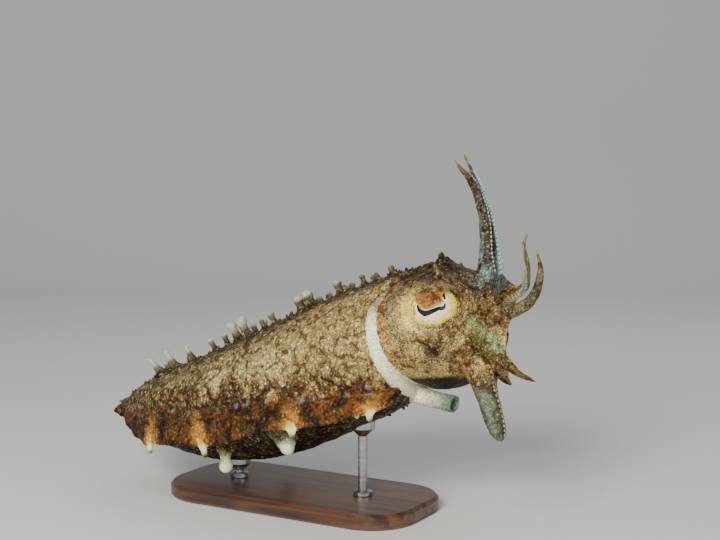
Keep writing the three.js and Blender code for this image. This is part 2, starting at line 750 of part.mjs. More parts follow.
function finGrid(side, from, to, phase) {
  const upper = [];
  const lower = [];
  const rows = Math.round(FIN.rings * (to - from));
  for (const i of range(rows + 1)) {
    const s = mix(from, to, i / rows);
    const x = mix(FIN.from, FIN.to, s);
    const width = FIN.width * finWidth(s);
    const wave = Math.sin(s * TAU * 2.6 + phase);
    const halfBody = mantleHalfWidth(x);
    let y = Math.max(halfBody * 0.82, 1.2);
    let z = finRoot(x);
    const step = (width + halfBody * 0.14) / FIN.columns;
    const top = [];
    const bottom = [];
    for (const k of range(FIN.columns + 1)) {
      const share = k / FIN.columns;
      const droop = rad(finDroop[side](s) - 20 + 34 * share + 13 * wave * share);
      if (k > 0) {
        y += step * Math.cos(droop);
        z -= step * Math.sin(droop);
      }
      const thick = mix(FIN.rootThick, FIN.edgeThick, share) / 2;
      const [across, up] = [thick * Math.sin(droop), thick * Math.cos(droop)];
      const back = (1 - s) ** 8 * -5 * share;
      top.push(new THREE.Vector3(x + back, side * (y + across), z + up));
      bottom.push(new THREE.Vector3(x + back, side * (y - across), z - up));
    }
    upper.push(top.map((p) => p.applyMatrix4(mantleFrame)));
    lower.push(bottom.map((p) => p.applyMatrix4(mantleFrame)));
  }
  return { upper, lower };
}

// Papillae along the fin's edge: [share of the fin's length, height, radius]
const FIN_PAPILLAE = [[0.22, 5, 3.2], [0.405, 6, 3.6], [0.72, 4.5, 3.4], [0.94, 4, 3]];

// A flat drawn-out point of the fin's edge, as thick as the fin where it leaves it
function finPoint(edge, outwards, across, height, radius) {
  const thickness = new THREE.Vector3().crossVectors(outwards, across).normalize();
  const rings = [[-5, 0.6], [0, 1], [height * 0.5, 0.5], [height, 0.32]].map(([out, size]) =>
    range(6).map((j) => {
      const turn = (TAU * j) / 6;
      return edge
        .clone()
        .addScaledVector(outwards, out)
        .addScaledVector(across, radius * size * Math.cos(turn))
        .addScaledVector(thickness, mix(FIN.edgeThick * 0.8, 1.4, out > 0) * Math.sin(turn));
    }));
  const [start, end] = [-5.5, height + 0.7].map((out) => edge.clone().addScaledVector(outwards, out));
  return solid(loft(rings, start, end));
}

function finLength(side, from, to, phase) {
  const { upper, lower } = finGrid(side, from, to, phase);
  const rows = upper.length - 1;
  const made = [solid(slab(upper, lower))];
  for (const [share, height, radius] of FIN_PAPILLAE) {
    if (share < from || share > to) continue;
    const i = Math.round(((share - from) / (to - from)) * rows);
    const middle = (row, k) => upper[row][k].clone().add(lower[row][k]).multiplyScalar(0.5);
    const [edge, inner] = [middle(i, FIN.columns), middle(i, FIN.columns - 1)];
    const [before, after] = [Math.max(i - 1, 0), Math.min(i + 1, rows)];
    const outwards = edge.clone().sub(inner).normalize();
    const across = middle(after, FIN.columns).sub(middle(before, FIN.columns)).normalize();
    made.push(finPoint(edge, outwards, across, height, radius));
  }
  return joined(made);
}

// The mouth: a frilled skin collar in the middle of the arms, and the tip of the beak inside it

function mouthRing(x, radius, frill) {
  return range(21).map((j) => {
    const angle = (TAU * j) / 21;
    const r = radius * (1 + frill * Math.cos(angle * 7));
    return new THREE.Vector3(x, r * Math.cos(angle), r * Math.sin(angle)).applyMatrix4(headFrame);
  });
}

function mouthCollar() {
  const f = HEAD.front;
  const outer = [mouthRing(f - 7, 9, 0), mouthRing(f - 1, 9.5, 0.03), mouthRing(f + 3, 9.5, 0.14)];
  const rings = [...outer, mouthRing(f + 2.6, 7.5, 0.12), mouthRing(f - 0.5, 5.5, 0)];
  const start = new THREE.Vector3(f - 7, 0, 0).applyMatrix4(headFrame);
  const end = new THREE.Vector3(f - 1, 0, 0).applyMatrix4(headFrame);
  return loft(rings, start, end);
}

function beakBody() {
  const foot = HEAD.front - 1.5;
  const rings = range(5).map((i) => {
    const t = i / 5;
    const bend = 2.2 * t * t;
    return range(8).map((j) => {
      const angle = (TAU * j) / 8;
      const r = 3.6 * Math.sqrt(1 - t);
      return new THREE.Vector3(foot + 5.5 * t, r * Math.cos(angle) * 0.8, 1 + r * Math.sin(angle) - bend);
    }).map((p) => p.applyMatrix4(headFrame));
  });
  const start = new THREE.Vector3(foot, 0, 1).applyMatrix4(headFrame);
  const end = new THREE.Vector3(foot + 5.8, 0, -1.4).applyMatrix4(headFrame);
  return loft(rings, start, end);
}

// The stand: a rounded wooden base and two short steel rods with padded ends under the belly

function baseBody() {
  const { length, width, height, corner, chamfer } = STAND;
  const x = length / 2 - chamfer;
  const y = width / 2 - chamfer;
  const r = corner - chamfer;
  const outline = new THREE.Shape();
  outline.moveTo(x - r, -y).absarc(x - r, -y + r, r, -Math.PI / 2, 0);
  outline.absarc(x - r, y - r, r, 0, Math.PI / 2);
  outline.absarc(-x + r, y - r, r, Math.PI / 2, Math.PI);
  outline.absarc(-x + r, -y + r, r, Math.PI, 1.5 * Math.PI);
  const made = new THREE.ExtrudeGeometry(outline, {
    depth: height - 2 * chamfer,
    bevelThickness: chamfer,
    bevelSize: chamfer,
    bevelSegments: 1,
    curveSegments: 5,
  });
  return made.translate(0, 0, chamfer);
}

function rodBody([x, y], bellyZ) {
  const foot = STAND.height + GAP - ANIMAL_AT.z;
  const collar = 2.4;
  const top = bellyZ + STAND.padHeight;
  const under = bellyZ - 3;
  const outline = [
    [0, foot], [STAND.rodRadius + 3, foot], [STAND.rodRadius + 3, foot + collar],
    [STAND.rodRadius, foot + collar + 1], [STAND.rodRadius, under - 5],
    [STAND.padRadius, under], [STAND.padRadius, top], [0, top],
  ];
  return latheOf(outline, 16).rotateX(Math.PI / 2).translate(x, y, 0);
}

// Put together, each body cut clear of what it grows from

const COLOURS = {
  mantle: [0x9a7a4c, 0.62],
  head: [0xa88b5e, 0.6],
  arm: [0x9b8660, 0.6],
  fin: [0xa05a24, 0.6],
  funnel: [0xc9cdb9, 0.55],
  eye: [0xe6d98a, 0.25],
  mouth: [0xb9a284, 0.6],
  beak: [0x241a14, 0.35],
  wood: [0x3a2417, 0.5],
  steel: [0xb4b6b8, 0.3],
};

function named(name, geometry, finish) {
  const [color, roughness] = COLOURS[finish];
  const metalness = finish === 'steel' ? 1 : 0;
  const mesh = new THREE.Mesh(geometry, new THREE.MeshStandardMaterial({ color, roughness, metalness }));
  mesh.name = name;
  return mesh;
}

const animal = new THREE.Group();
animal.position.copy(ANIMAL_AT);

const mantleShape = mantleBody();
const mantleWide = grown(mantleShape, GAP);
const mantleWhole = joined([solid(mantleShape), ...mantlePapillae()]);
animal.add(named('mantle', geometryOf(mantleWhole), 'mantle'));

const headParts = [headBody(), collarBody(), ...[-1, 1].map((side) => lidDome(side))];
const headWide = joined(headParts.map((part) => grown(part, GAP)));
let headWhole = joined([...headParts.map(solid), ...headPapillae()]).subtract(mantleWide);
for (const side of [-1, 1]) {
  headWhole = headWhole.subtract(eyeOpening(side));
  headWhole = headWhole.subtract(solid(eyeball(EYE.radius + GAP).applyMatrix4(eyeFrame(side))));
  animal.add(named(side < 0 ? 'eye_right' : 'eye_left', eyeSolid(side), 'eye'));
}
animal.add(named('head', geometryOf(headWhole), 'head'));

const funnelWhole = solid(funnelBody()).subtract(headWide).subtract(mantleWide);
animal.add(named('funnel', geometryOf(funnelWhole), 'funnel'));

const armsBefore = [];
const curves = Object.fromEntries(Object.entries(ARMS).map(([name, arm]) => [name, armCurve(name, arm)]));
for (const [name, arm] of Object.entries(ARMS)) {
  const curve = curves[name];
  const root = armLength(curve, arm, 0, ARM.split);
  const tip = armLength(curve, arm, ARM.split, 1);
  const [rootClear, tipClear] = [[headWide, ...armsBefore], [headWide, ...armsBefore, root.wide]];
  armsBefore.push(root.wide, tip.wide);
  const before = name.replace(/\d/, (number) => number - 1);
  if (ARMS[before]) {
    const neighbour = { curve: curves[before], arm: ARMS[before] };
    const web = webBody(neighbour, { curve, arm }, WEBS[name.slice(0, 5)]);
    root.whole = root.whole.add(solid(web).subtract(tip.wide));
    armsBefore.push(grown(web, GAP));
  }
  for (const [part, whole, others] of [['root', root.whole, rootClear], ['tip', tip.whole, tipClear]]) {
    const clear = others.reduce((left, other) => left.subtract(other), whole);
    animal.add(named(`${name}_${part}`, geometryOf(clear), 'arm'));
  }
}

for (const side of [-1, 1]) {
  const where = side < 0 ? 'right' : 'left';
  const phase = side < 0 ? 0.6 : 2.4;
  const cut = GAP / (FIN.to - FIN.from) / 2;
  for (const [part, from, to] of [['rear', 0, 0.5 - cut], ['front', 0.5 + cut, 1]]) {
    const fin = finLength(side, from, to, phase).subtract(mantleWide);
    animal.add(named(`fin_${where}_${part}`, geometryOf(fin), 'fin'));
  }
}

const mouthShape = mouthCollar();
const mouthCuts = [headWide, ...armsBefore];
const mouthWhole = mouthCuts.reduce((left, other) => left.subtract(other), solid(mouthShape));
animal.add(named('mouth_collar', geometryOf(mouthWhole), 'mouth'));
animal.add(named('beak', geometryOf(solid(beakBody()).subtract(grown(mouthShape, GAP))), 'beak'));

STAND.rodsAt.forEach((place, i) => {
  const x = (place[0] - MANTLE.tail[0]) / Math.cos(rad(MANTLE.pitch)) - 14;
  const belly = mantleSection(x, -Math.PI / 2).applyMatrix4(mantleFrame);
  const rod = solid(rodBody(place, belly.z)).subtract(mantleWide);
  animal.add(named(i ? 'stand_rod_front' : 'stand_rod_rear', geometryOf(rod), 'steel'));
});

const model = new THREE.Group();
model.add(animal, named('stand_base', baseBody(), 'wood'));

export default model;
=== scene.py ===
# %% [markdown]
# # A cuttlefish on a display stand
# A cuttlefish has no bones in its arms and hardly a straight line anywhere.
# Its body is a few soft forms: a mantle like a flattened egg, a ribbon of fin down
# each side, a head that slips out of the mantle's free edge, a funnel under the neck
# and a crown of eight arms. Each form here is a row of rings with a rule for its size,
# the rings are joined into skins, and small forms are set on the skins afterwards.

import bpy
import math
import numpy as np
from mathutils import Matrix, Vector
from mathutils.kdtree import KDTree


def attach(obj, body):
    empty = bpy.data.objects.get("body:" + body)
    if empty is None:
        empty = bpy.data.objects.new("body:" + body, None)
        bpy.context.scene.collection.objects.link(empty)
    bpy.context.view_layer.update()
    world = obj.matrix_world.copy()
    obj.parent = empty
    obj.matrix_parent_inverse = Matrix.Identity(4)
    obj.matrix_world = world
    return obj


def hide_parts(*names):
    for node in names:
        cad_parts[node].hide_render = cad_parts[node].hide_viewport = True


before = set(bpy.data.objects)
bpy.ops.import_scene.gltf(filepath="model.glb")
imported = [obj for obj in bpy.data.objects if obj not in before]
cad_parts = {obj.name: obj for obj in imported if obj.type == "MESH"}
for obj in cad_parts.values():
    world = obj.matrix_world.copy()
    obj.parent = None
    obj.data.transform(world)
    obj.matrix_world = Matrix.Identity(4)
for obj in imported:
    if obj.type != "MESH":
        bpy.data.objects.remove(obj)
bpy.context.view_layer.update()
MM = 0.001
TAU = 2 * math.pi
# The rules below are in mm, in the animal's own frame, whose origin is here in the model's frame
ANIMAL_AT = np.array([62.0, 0.0, 114.0])

# %% [markdown]
# ## Curves through a few stations
# Every size along the body, such as the mantle's half width, is given at a few
# stations. A spline could bulge past them, so the curve used here keeps its slope
# at zero where the stations turn, and never overshoots. A rounded tip needs a curve
# that starts steeply, which a square root of the distance gives.


# %% Profiles, blends and frames
def profile(stations):
    """A smooth curve through [place, size] stations that never overshoots them."""
    xs, ys = np.array(stations, float).T
    rise = np.diff(ys) / np.diff(xs)
    product = rise[:-1] * rise[1:]
    total = np.where(product > 0, rise[:-1] + rise[1:], 1.0)
    inner = np.where(product > 0, 2 * product / total, 0.0)
    slope = np.concatenate([rise[:1], inner, rise[-1:]])

    def curve(x):
        at = np.clip(np.asarray(x, float), xs[0], xs[-1])
        i = np.clip(np.searchsorted(xs, at, side="left") - 1, 0, len(xs) - 2)
        span = xs[i + 1] - xs[i]
        t = (at - xs[i]) / span
        return (
            ys[i] * (1 + 2 * t) * (1 - t) ** 2
            + slope[i] * span * t * (1 - t) ** 2
            + ys[i + 1] * t * t * (3 - 2 * t)
            + slope[i + 1] * span * t * t * (t - 1)
        )

    return curve


def rounded_profile(stations):
    start = stations[0][0]
    curve = profile([[math.sqrt(x - start), y] for x, y in stations])
    return lambda x: curve(np.sqrt(np.maximum(np.asarray(x, float) - start, 0)))


def bell(x, centre, width):
    """1 at the centre, falling softly to nothing over about twice the width."""
    return np.exp(-(((x - centre) / width) ** 2))


def power(x, p):
    return np.sign(x) * np.abs(x) ** p


def mix(a, b, t):
    return a + (b - a) * t


def smooth_step(x, low, high):
    t = np.clip((np.asarray(x, float) - low) / (high - low), 0, 1)
    return t * t * (3 - 2 * t)


def unit(v):
    return v / np.maximum(np.linalg.norm(v, axis=-1, keepdims=True), 1e-12)


def part_frame(place, pitch, yaw=0.0):
    """The turn and place of a part's own frame, pitched up and then turned, in degrees."""
    p, y = math.radians(pitch), math.radians(yaw)
    pitched = np.array([[math.cos(p), 0, -math.sin(p)], [0, 1, 0], [math.sin(p), 0, math.cos(p)]])
    turned = np.array([[math.cos(y), -math.sin(y), 0], [math.sin(y), math.cos(y), 0], [0, 0, 1]])
    return turned @ pitched, np.array(place, float)


def to_animal(points, part):
    turn, place = part
    return points @ turn.T + place


def to_part(points, part):
    turn, place = part
    return (points - place) @ turn


# %% [markdown]
# ## From rings to meshes
# Blender can loft with curves or skin modifiers, but a plain grid of points is
# quicker to control: every ring has the same number of points, neighbours are joined
# by quads, and each end closes in a fan. Thin sheets get an upper and a lower grid
# and a rim between them.


# %% Mesh makers
def placed(name, data):
    piece = bpy.data.objects.new(name, data)
    bpy.context.scene.collection.objects.link(piece)
    return piece


def mesh_of(name, points, faces, material=None):
    """A piece at the model's origin, made from points in the animal's frame."""
    mesh = bpy.data.meshes.new(name)
    mesh.from_pydata((np.asarray(points) + ANIMAL_AT) * MM, [], faces)
    mesh.update()
    if material is not None:
        mesh.materials.append(material)
    return placed(name, mesh)


def outward(points, faces):
    """The faces turned so that the closed body they make faces out."""
    p = np.asarray(points)
    volume = 0.0
    for face in faces:
        for k in range(1, len(face) - 1):
            volume += np.dot(p[face[0]], np.cross(p[face[k]], p[face[k + 1]]))
    return [f[::-1] for f in faces] if volume < 0 else faces


def loft(rings, start, end):
    """A closed body through rings of points, with a fan to one point at each end."""
    rings = np.asarray(rings)
    rows, sides = rings.shape[:2]
    points = np.concatenate([rings.reshape(-1, 3), [start], [end]])
    faces = []
    for i in range(rows - 1):
        for j in range(sides):
            k = (j + 1) % sides
            faces.append((i * sides + j, i * sides + k, (i + 1) * sides + k, (i + 1) * sides + j))
    last = (rows - 1) * sides
    for j in range(sides):
        k = (j + 1) % sides
        faces.append((rows * sides, k, j))
        faces.append((rows * sides + 1, last + j, last + k))
    return points, outward(points, faces)


def slab(upper, lower):
    """A closed sheet between two grids of points."""
    rows, columns = upper.shape[:2]
    points = np.concatenate([upper.reshape(-1, 3), lower.reshape(-1, 3)])
    below = rows * columns
    faces = []
    for i in range(rows - 1):
        for k in range(columns - 1):
            a = i * columns + k
            faces.append((a, a + 1, a + columns + 1, a + columns))
            faces.append((below + a, below + a + columns, below + a + columns + 1, below + a + 1))
    edge = list(range(columns - 1))
    edge += [i * columns + columns - 1 for i in range(rows - 1)]
    edge += [rows * columns - 1 - k for k in range(columns - 1)]
    edge += [(rows - 1 - i) * columns for i in range(rows - 1)]
    for i, a in enumerate(edge):
        b = edge[(i + 1) % len(edge)]
        faces.append((a, below + a, below + b, b))
    return points, outward(points, faces)


def lathe(outline, sides, point, direction):
    """A round form from [radius, height] pairs that start and end on its axis."""
    up = unit(np.asarray(direction, float))
    helper = np.array([1.0, 0, 0]) if abs(up[0]) < 0.9 else np.array([0, 1.0, 0])
    across = unit(np.cross(up, helper))
    other = np.cross(up, across)
    angle = np.arange(sides) * TAU / sides
    around = np.cos(angle)[:, None] * across + np.sin(angle)[:, None] * other
    rings = [np.asarray(point) + h * up + r * around for r, h in outline[1:-1]]
    foot, tip = outline[0][1], outline[-1][1]
    return loft(rings, np.asarray(point) + foot * up, np.asarray(point) + tip * up)


# %% [markdown]
# ## The mantle
# The mantle holds the body and ends in a free edge round the neck, with a lobe over
# the head. It could be sculpted, but rings with three rules, half width, reach above
# and reach below a sagging axis, give the same form again at any fineness. The lip is
# rolled inwards, so that the neck comes out of a real opening.

# %% The mantle's rules
MANTLE_START, MARGIN_SIDE, MARGIN_BELLY, MANTLE_LENGTH = 5.0, 234.5, 231.0, 266.0
MANTLE_LIP, MANTLE_RECESS, LIP_ROLL = 5.0, 13.0, 3.5
LOBE_SPREAD, NOTCH_SPREAD = math.radians(33), math.radians(28)
# Powers below 1 make a section fuller than an oval
MANTLE_FULLNESS = (0.9, 0.94)
# Rows lie closer together towards the rear tip, and the lip takes the last of the length
ROW_PACKING, WALL_SHARE = 1.6, 0.985
mantle_part = part_frame([-210, 0, -64], 18)
mantle_half_width = rounded_profile(
    [[5, 0], [12, 11], [27, 22], [65, 38.5], [102, 47.5],
     [138, 52], [173, 54], [205, 53.5], [237, 50], [266, 44]]
)
mantle_top = rounded_profile(
    [[5, 0], [12, 8.5], [27, 14], [65, 22], [102, 28.5],
     [138, 34.5], [173, 38.5], [205, 40], [237, 38.5], [266, 36.5]]
)
mantle_bottom = rounded_profile(
    [[5, 0], [12, 14], [20, 22], [33, 30], [59, 41], [94, 48],
     [122, 49.5], [147, 48], [177, 44.5], [206, 41.5], [237, 37.5], [266, 31]]
)
mantle_axis = profile([[0, -1], [40, -5], [102, -11], [150, -13], [205, -11], [266, -6]])


def around(angle, centre):
    """The way round from the centre to the angle, between minus and plus half a turn."""
    return np.arctan2(np.sin(angle - centre), np.cos(angle - centre))


def mantle_section(x, angle, inset=0.0):
    x, angle = np.broadcast_arrays(np.asarray(x, float), np.asarray(angle, float))
    c, s = power(np.cos(angle), MANTLE_FULLNESS[0]), power(np.sin(angle), MANTLE_FULLNESS[1])
    reach = np.where(s > 0, mantle_top(x), mantle_bottom(x))
    return np.stack([x, (mantle_half_width(x) - inset) * c, mantle_axis(x) + (reach - inset) * s], -1)


def margin_at(angle):
    """How far forward the mantle's free edge reaches, with a lobe above and a notch below."""
    lobe = (MANTLE_LENGTH - MARGIN_SIDE) * bell(around(angle, math.pi / 2), 0, LOBE_SPREAD)
    notch = (MARGIN_SIDE - MARGIN_BELLY) * bell(around(angle, -math.pi / 2), 0, NOTCH_SPREAD)
    return MARGIN_SIDE + lobe - notch


def mantle_ring(angles, share, inset=0.0, forward=0.0):
    ring = mantle_section(mix(MANTLE_START, margin_at(angles), share), angles, inset)
    ring[:, 0] += forward
    return ring


def mantle_solid(sides=150, rows=130):
    angles = np.arange(sides) * TAU / sides
    rings = [mantle_ring(angles, ((i + 1) / rows) ** ROW_PACKING * WALL_SHARE) for i in range(rows)]
    for turn in np.linspace(0.15, 1, 6) * math.pi / 2:
        inwards = MANTLE_LIP * 0.55 * (1 - math.cos(turn))
        rings.append(mantle_ring(angles, 1, inwards, -LIP_ROLL * (1 - math.sin(turn))))
    for lips, back in ((0.8, 1), (1.1, MANTLE_RECESS * 0.5), (1.4, MANTLE_RECESS)):
        rings.append(mantle_ring(angles, 1, MANTLE_LIP * lips, -back))
    start = [MANTLE_START, 0, float(mantle_axis(0))]
    floor = [MARGIN_SIDE - MANTLE_RECESS - 4, 0, float(mantle_axis(MARGIN_SIDE))]
    points, faces = loft(rings, start, floor)
    return to_animal(points, mantle_part), faces


def on_mantle(x, angle):
    """A point of the mantle's skin and the way out from it, in the animal's frame."""
    at = mantle_section(x, angle)
    along = mantle_section(x + 0.5, angle) - mantle_section(x - 0.5, angle)
    round_it = mantle_section(x, angle + 0.02) - mantle_section(x, angle - 0.02)
    normal = unit(np.cross(round_it, along))
    if normal @ np.array([0, math.cos(angle), math.sin(angle)]) < 0:
        normal = -normal
    return to_animal(at, mantle_part), mantle_part[0] @ normal


# %% [markdown]
# ## The papillae of the back and flanks
# Cuttlefish raise skin papillae by muscle. Those of this one are drawn-out knobs in
# a row each side of the back, paler than the skin. Each is a lathe outline sunk
# into the skin, and the remesh below fuses its foot to the mantle.

# %% The mantle's large papillae
# Place along the mantle, degrees from the ridge, height, radius and lean towards the rear
BACK_PAPILLAE = [
    [46, 12, 13, 2.4, 0.5], [60, 14, 12.5, 2.6, 0.15], [81, 20, 10, 2.4, 0], [100, 14, 8, 2, 0.2],
    [108, 10, 7.5, 2, 0], [117, 9, 11.5, 2.9, 0.1], [127, 12, 11.5, 3.3, 0], [140, 10, 5.5, 1.5, 0],
    [149, 10, 7.5, 2, 0], [174, 12, 8, 2.9, 0], [182, 13, 9, 3.4, 0], [204, 11, 7.5, 2.8, 0],
    [211, 16, 4.5, 2.6, 0.2], [221, 9, 6, 1.9, 0], [233, 13, 4.5, 2, 0], [243, 11, 5.5, 2.3, 0],
]
# Place along the mantle, degrees below its widest line, height and radius
FLANK_PAPILLAE = [[100, 48, 15, 4], [154, 44, 14, 7.5], [205, 52, 5, 3]]
FLANK_LEAN = np.array([0.6, 0, -0.9])
POINTED_BEFORE, BACK_STRETCH = 90, 1.25


def papilla(point, direction, height, radius, knob=1.0):
    """A ball on a stalk, or a cone with a round tip where the knob is 0."""
    foot = -0.4 * height - 1.5
    bulb = min(radius * 1.15, height * 0.34)
    stations = [(2.1, 1.5, foot), (1.9, 1.4, -0.08 * height), (1.35, 1.1, height * 0.1)]
    stations += [(0.95, 0.92, height * 0.32), (0.66, 0.84, height * 0.55)]
    stalk = [[radius * mix(cone, stem, knob), up] for cone, stem, up in stations]
    ball_end = []
    for turn in np.linspace(-0.75, 1.35, 7):
        wide = mix(radius * 0.42 * math.cos(turn), bulb * math.cos(turn), knob)
        ball_end.append([wide, height + bulb * (math.sin(turn) - 1)])
    return lathe([[0, foot], *stalk, *ball_end, [0, height]], 18, point, direction)


def flank_place(x, off, side):
    """Where a flank papilla stands on one side, and which way it points."""
    point, normal = on_mantle(x, math.pi + math.radians(off) if side < 0 else -math.radians(off))
    return point, normal + FLANK_LEAN


def seeded(seed):
    """Values between 0 and 1, scattered alike on every run."""
    state = seed
    while True:
        state = (state * 1664525 + 1013904223) % 4294967296
        yield state / 4294967296


def mantle_papillae():
    """Body, foot and height of each papilla. Those of the far side are moved and shrunk a little."""
    random = seeded(7)
    rearwards = mantle_part[0] @ np.array([-1.0, 0, 0])
    made = []
    for side in (-1, 1):
        for x, off, height, radius, lean in BACK_PAPILLAE:
            shift = mix(-6, 2, next(random)) if side > 0 else 0
            size = mix(0.6, 0.85, next(random)) if side > 0 else 1
            knob = 0.25 if x < POINTED_BEFORE else 1.0
            point, normal = on_mantle(x + shift, math.pi / 2 - side * math.radians(off))
            height, radius = height * size * BACK_STRETCH, radius * size * mix(1.4, 1.03, knob)
            made.append((papilla(point, normal + rearwards * lean, height, radius, knob), point, height))
        for x, off, height, radius in FLANK_PAPILLAE:
            point, direction = flank_place(x, off, side)
            made.append((papilla(point, direction, height, radius), point, height))
    return made


# %% [markdown]
# ## The fins
# A soft ribbon runs down each side of the mantle and waves to hold the animal in
# place. It is a thin sheet between two grids of points: rows along the body, columns
# from root to edge, and the droop of each column from a slow wave along the body.

# %% The fins' rules
FIN_FROM, FIN_TO, FIN_WIDTH, FIN_ROOT_THICK, FIN_EDGE_THICK = -4.0, 243.0, 28.0, 4.2, 1.7
fin_root = profile(
    [[-4, 0], [8, -2], [39, -4], [71, -6.5], [126, -13.5], [181, -24], [210, -29.5], [243, -38]]
)
fin_width = profile(
    [[0, 0.15], [0.05, 0.4], [0.2, 0.95], [0.42, 1], [0.62, 0.8], [0.85, 0.55], [0.95, 0.45], [1, 0.25]]
)
fin_droop = {
    -1: profile([[0, 40], [0.12, 64], [0.4, 66], [0.7, 56], [1, 36]]),
    1: profile([[0, -60], [0.1, -30], [0.25, 40], [0.5, 58], [1, 36]]),
}
# Share of the fin's length, height and radius
FIN_PAPILLAE = [[0.22, 5, 3.2], [0.405, 6, 3.6], [0.72, 4.5, 3.4], [0.94, 4, 3]]
FIN_WAVES, FIN_WAVE_SWING, FIN_WAVE_PHASE = 2.6, 13, {-1: 0.6, 1: 2.4}
EDGE_RIPPLES = [(9, 7, 1), (17, 5, 2)]


def fin_grid(side, rows=320, columns=26):
    """Upper and lower points of one fin, from the rear forwards and from root to edge."""
    s = np.linspace(0, 1, rows + 1)
    x = mix(FIN_FROM, FIN_TO, s)
    half_body = mantle_half_width(x)
    y = np.maximum(half_body * 0.82, 1.2)
    z = fin_root(x)
    wave = np.sin(s * TAU * FIN_WAVES + FIN_WAVE_PHASE[side])
    ripple = sum(np.sin(s * TAU * count + phase * side) * swing for count, swing, phase in EDGE_RIPPLES)
    step = (FIN_WIDTH * fin_width(s) + half_body * 0.14) / columns
    upper, lower = [], []
    for k in range(columns + 1):
        share = k / columns
        near_next = (math.floor(share * 3 - 1e-9) + 1) / 3 if k else 0
        bend = fin_droop[side](s) - 20 + 34 * mix(share, near_next, 0.6)
        droop = np.radians(bend + FIN_WAVE_SWING * wave * share + ripple * share**3)
        if k:
            y = y + step * np.cos(droop)
            z = z - step * np.sin(droop)
        round_edge = math.sqrt(max(1 - max(share - 0.95, 0) / 0.06, 0)) if share > 0.95 else 1
        thick = mix(FIN_ROOT_THICK, FIN_EDGE_THICK, share) / 2 * round_edge
        back = (1 - s) ** 8 * -5 * share
        offset = np.stack([np.zeros_like(x), side * thick * np.sin(droop), thick * np.cos(droop)], -1)
        middle = np.stack([x + back, side * y, z], -1)
        upper.append(middle + offset)
        lower.append(middle - offset)
    return [to_animal(np.stack(face, 1), mantle_part) for face in (upper, lower)]


def fin_solid(side):
    upper, lower = fin_grid(side)
    return slab(upper, lower)


def fin_papillae(side):
    """Drawn-out points of the fin's edge: a soft foot as thin as the fin, then a round end."""
    upper, lower = fin_grid(side)
    middle = (upper + lower) / 2
    made = []
    for share, height, radius in FIN_PAPILLAE:
        i = min(max(round(share * (len(upper) - 1)), 8), len(upper) - 9)
        point = middle[i][-1]
        outwards = unit(middle[i][-1] - middle[i][-5])
        along = unit(middle[i + 8][-1] - middle[i - 8][-1])
        across = unit(np.cross(outwards, along))
        turn = (np.arange(20) * TAU / 20)[:, None]
        stations = [(-9, 1.1, 0.6), (-5, 1.5, 1.1), (-1.5, 1.25, 1.4), (0.2 * height, 0.9, 1.6)]
        stations += [(0.5 * height, 0.6, 1.7), (0.78 * height, 0.55, 1.8), (0.95 * height, 0.5, 1.65)]
        stations += [(1.1 * height, 0.3, 1.0)]
        rings = [
            point + outwards * out + along * radius * wide * np.cos(turn) + across * thick * np.sin(turn)
            for out, wide, thick in stations
        ]
        form = loft(rings, point - 9.5 * outwards, point + (1.15 * height) * outwards)
        made.append((form, point, height + 2))
    return made


# %% [markdown]
# ## Paths through points
# The funnel and the arms follow smooth paths through a few points. A centripetal
# path doesn't loop between points set close together, which a plain one can do.


# %% Paths and tubes
def path_through(points, samples=40, centripetal=True):
    """A smooth path: its point and its direction at a share of its length, and that length."""
    p = np.asarray(points, float)
    p = np.concatenate([[2 * p[0] - p[1]], p, [2 * p[-1] - p[-2]]])
    pieces = []
    for i in range(1, len(p) - 2):
        a, b, c, d = p[i - 1 : i + 3]
        t = np.linspace(0, 1, samples, endpoint=False)[:, None]
        if centripetal:
            gaps = [max(np.linalg.norm(q - r), 1e-6) ** 0.5 for q, r in ((b, a), (c, b), (d, c))]
            m1 = ((b - a) / gaps[0] - (c - a) / (gaps[0] + gaps[1]) + (c - b) / gaps[1]) * gaps[1]
            m2 = ((c - b) / gaps[1] - (d - b) / (gaps[1] + gaps[2]) + (d - c) / gaps[2]) * gaps[1]
        else:
            m1, m2 = (c - a) / 2, (d - b) / 2
        h = [2 * t**3 - 3 * t**2 + 1, t**3 - 2 * t**2 + t, -2 * t**3 + 3 * t**2, t**3 - t**2]
        pieces.append(h[0] * b + h[1] * m1 + h[2] * c + h[3] * m2)
    pieces.append(p[-2:-1])
    path = np.concatenate(pieces)
    length = np.concatenate([[0], np.cumsum(np.linalg.norm(np.diff(path, axis=0), axis=1))])

    def at(share):
        want = np.asarray(share, float) * length[-1]
        return np.stack([np.interp(want, length, path[:, k]) for k in range(3)], -1)

    def ahead(share):
        share = np.asarray(share, float)
        return unit(at(np.minimum(share + 0.01, 1)) - at(np.maximum(share - 0.01, 0)))

    return at, ahead, length[-1]


# %% [markdown]
# ## The head and its eyes
# The head is a second row of rings, with a swelling round each eye. The lids are a
# skin dome a little larger than the eyeball, and the opening between them is cut out
# with a scalloped flap hanging into it, as a cuttlefish's iris flap does.

# %% The head's rules
HEAD_START, HEAD_FRONT = -20.0, 56.0
head_part = part_frame([17.6, -5, 2.6], 8, 12)
head_half_width = profile([[-20, 38], [-6, 41], [5, 42], [16, 43], [30, 42.5], [41, 37], [49, 31], [56, 24]])
head_top = profile(
    [[-20, 27], [-6, 33], [5, 35.5], [15, 38], [23, 39], [33, 38.5], [43, 35.5], [50, 32], [56, 25]]
)
head_bottom = profile([[-20, 22], [-6, 25], [6, 26], [16, 29], [32, 30], [44, 28], [51, 25], [56, 20]])
EYE_CENTRE, EYE_RADIUS, EYE_LID, EYE_GAP = (28.0, 32.0, 16.5), 16.0, 1.5, 0.35
EYE_GAZE, EYE_OPENING = (0.2, 0.96, 0.18), (12.2, 8.8)
LID_FROM, LID_TO = math.radians(137.5), math.radians(407.8)
EYE_SWELL, EYE_SWELL_REACH = 5.5, 21
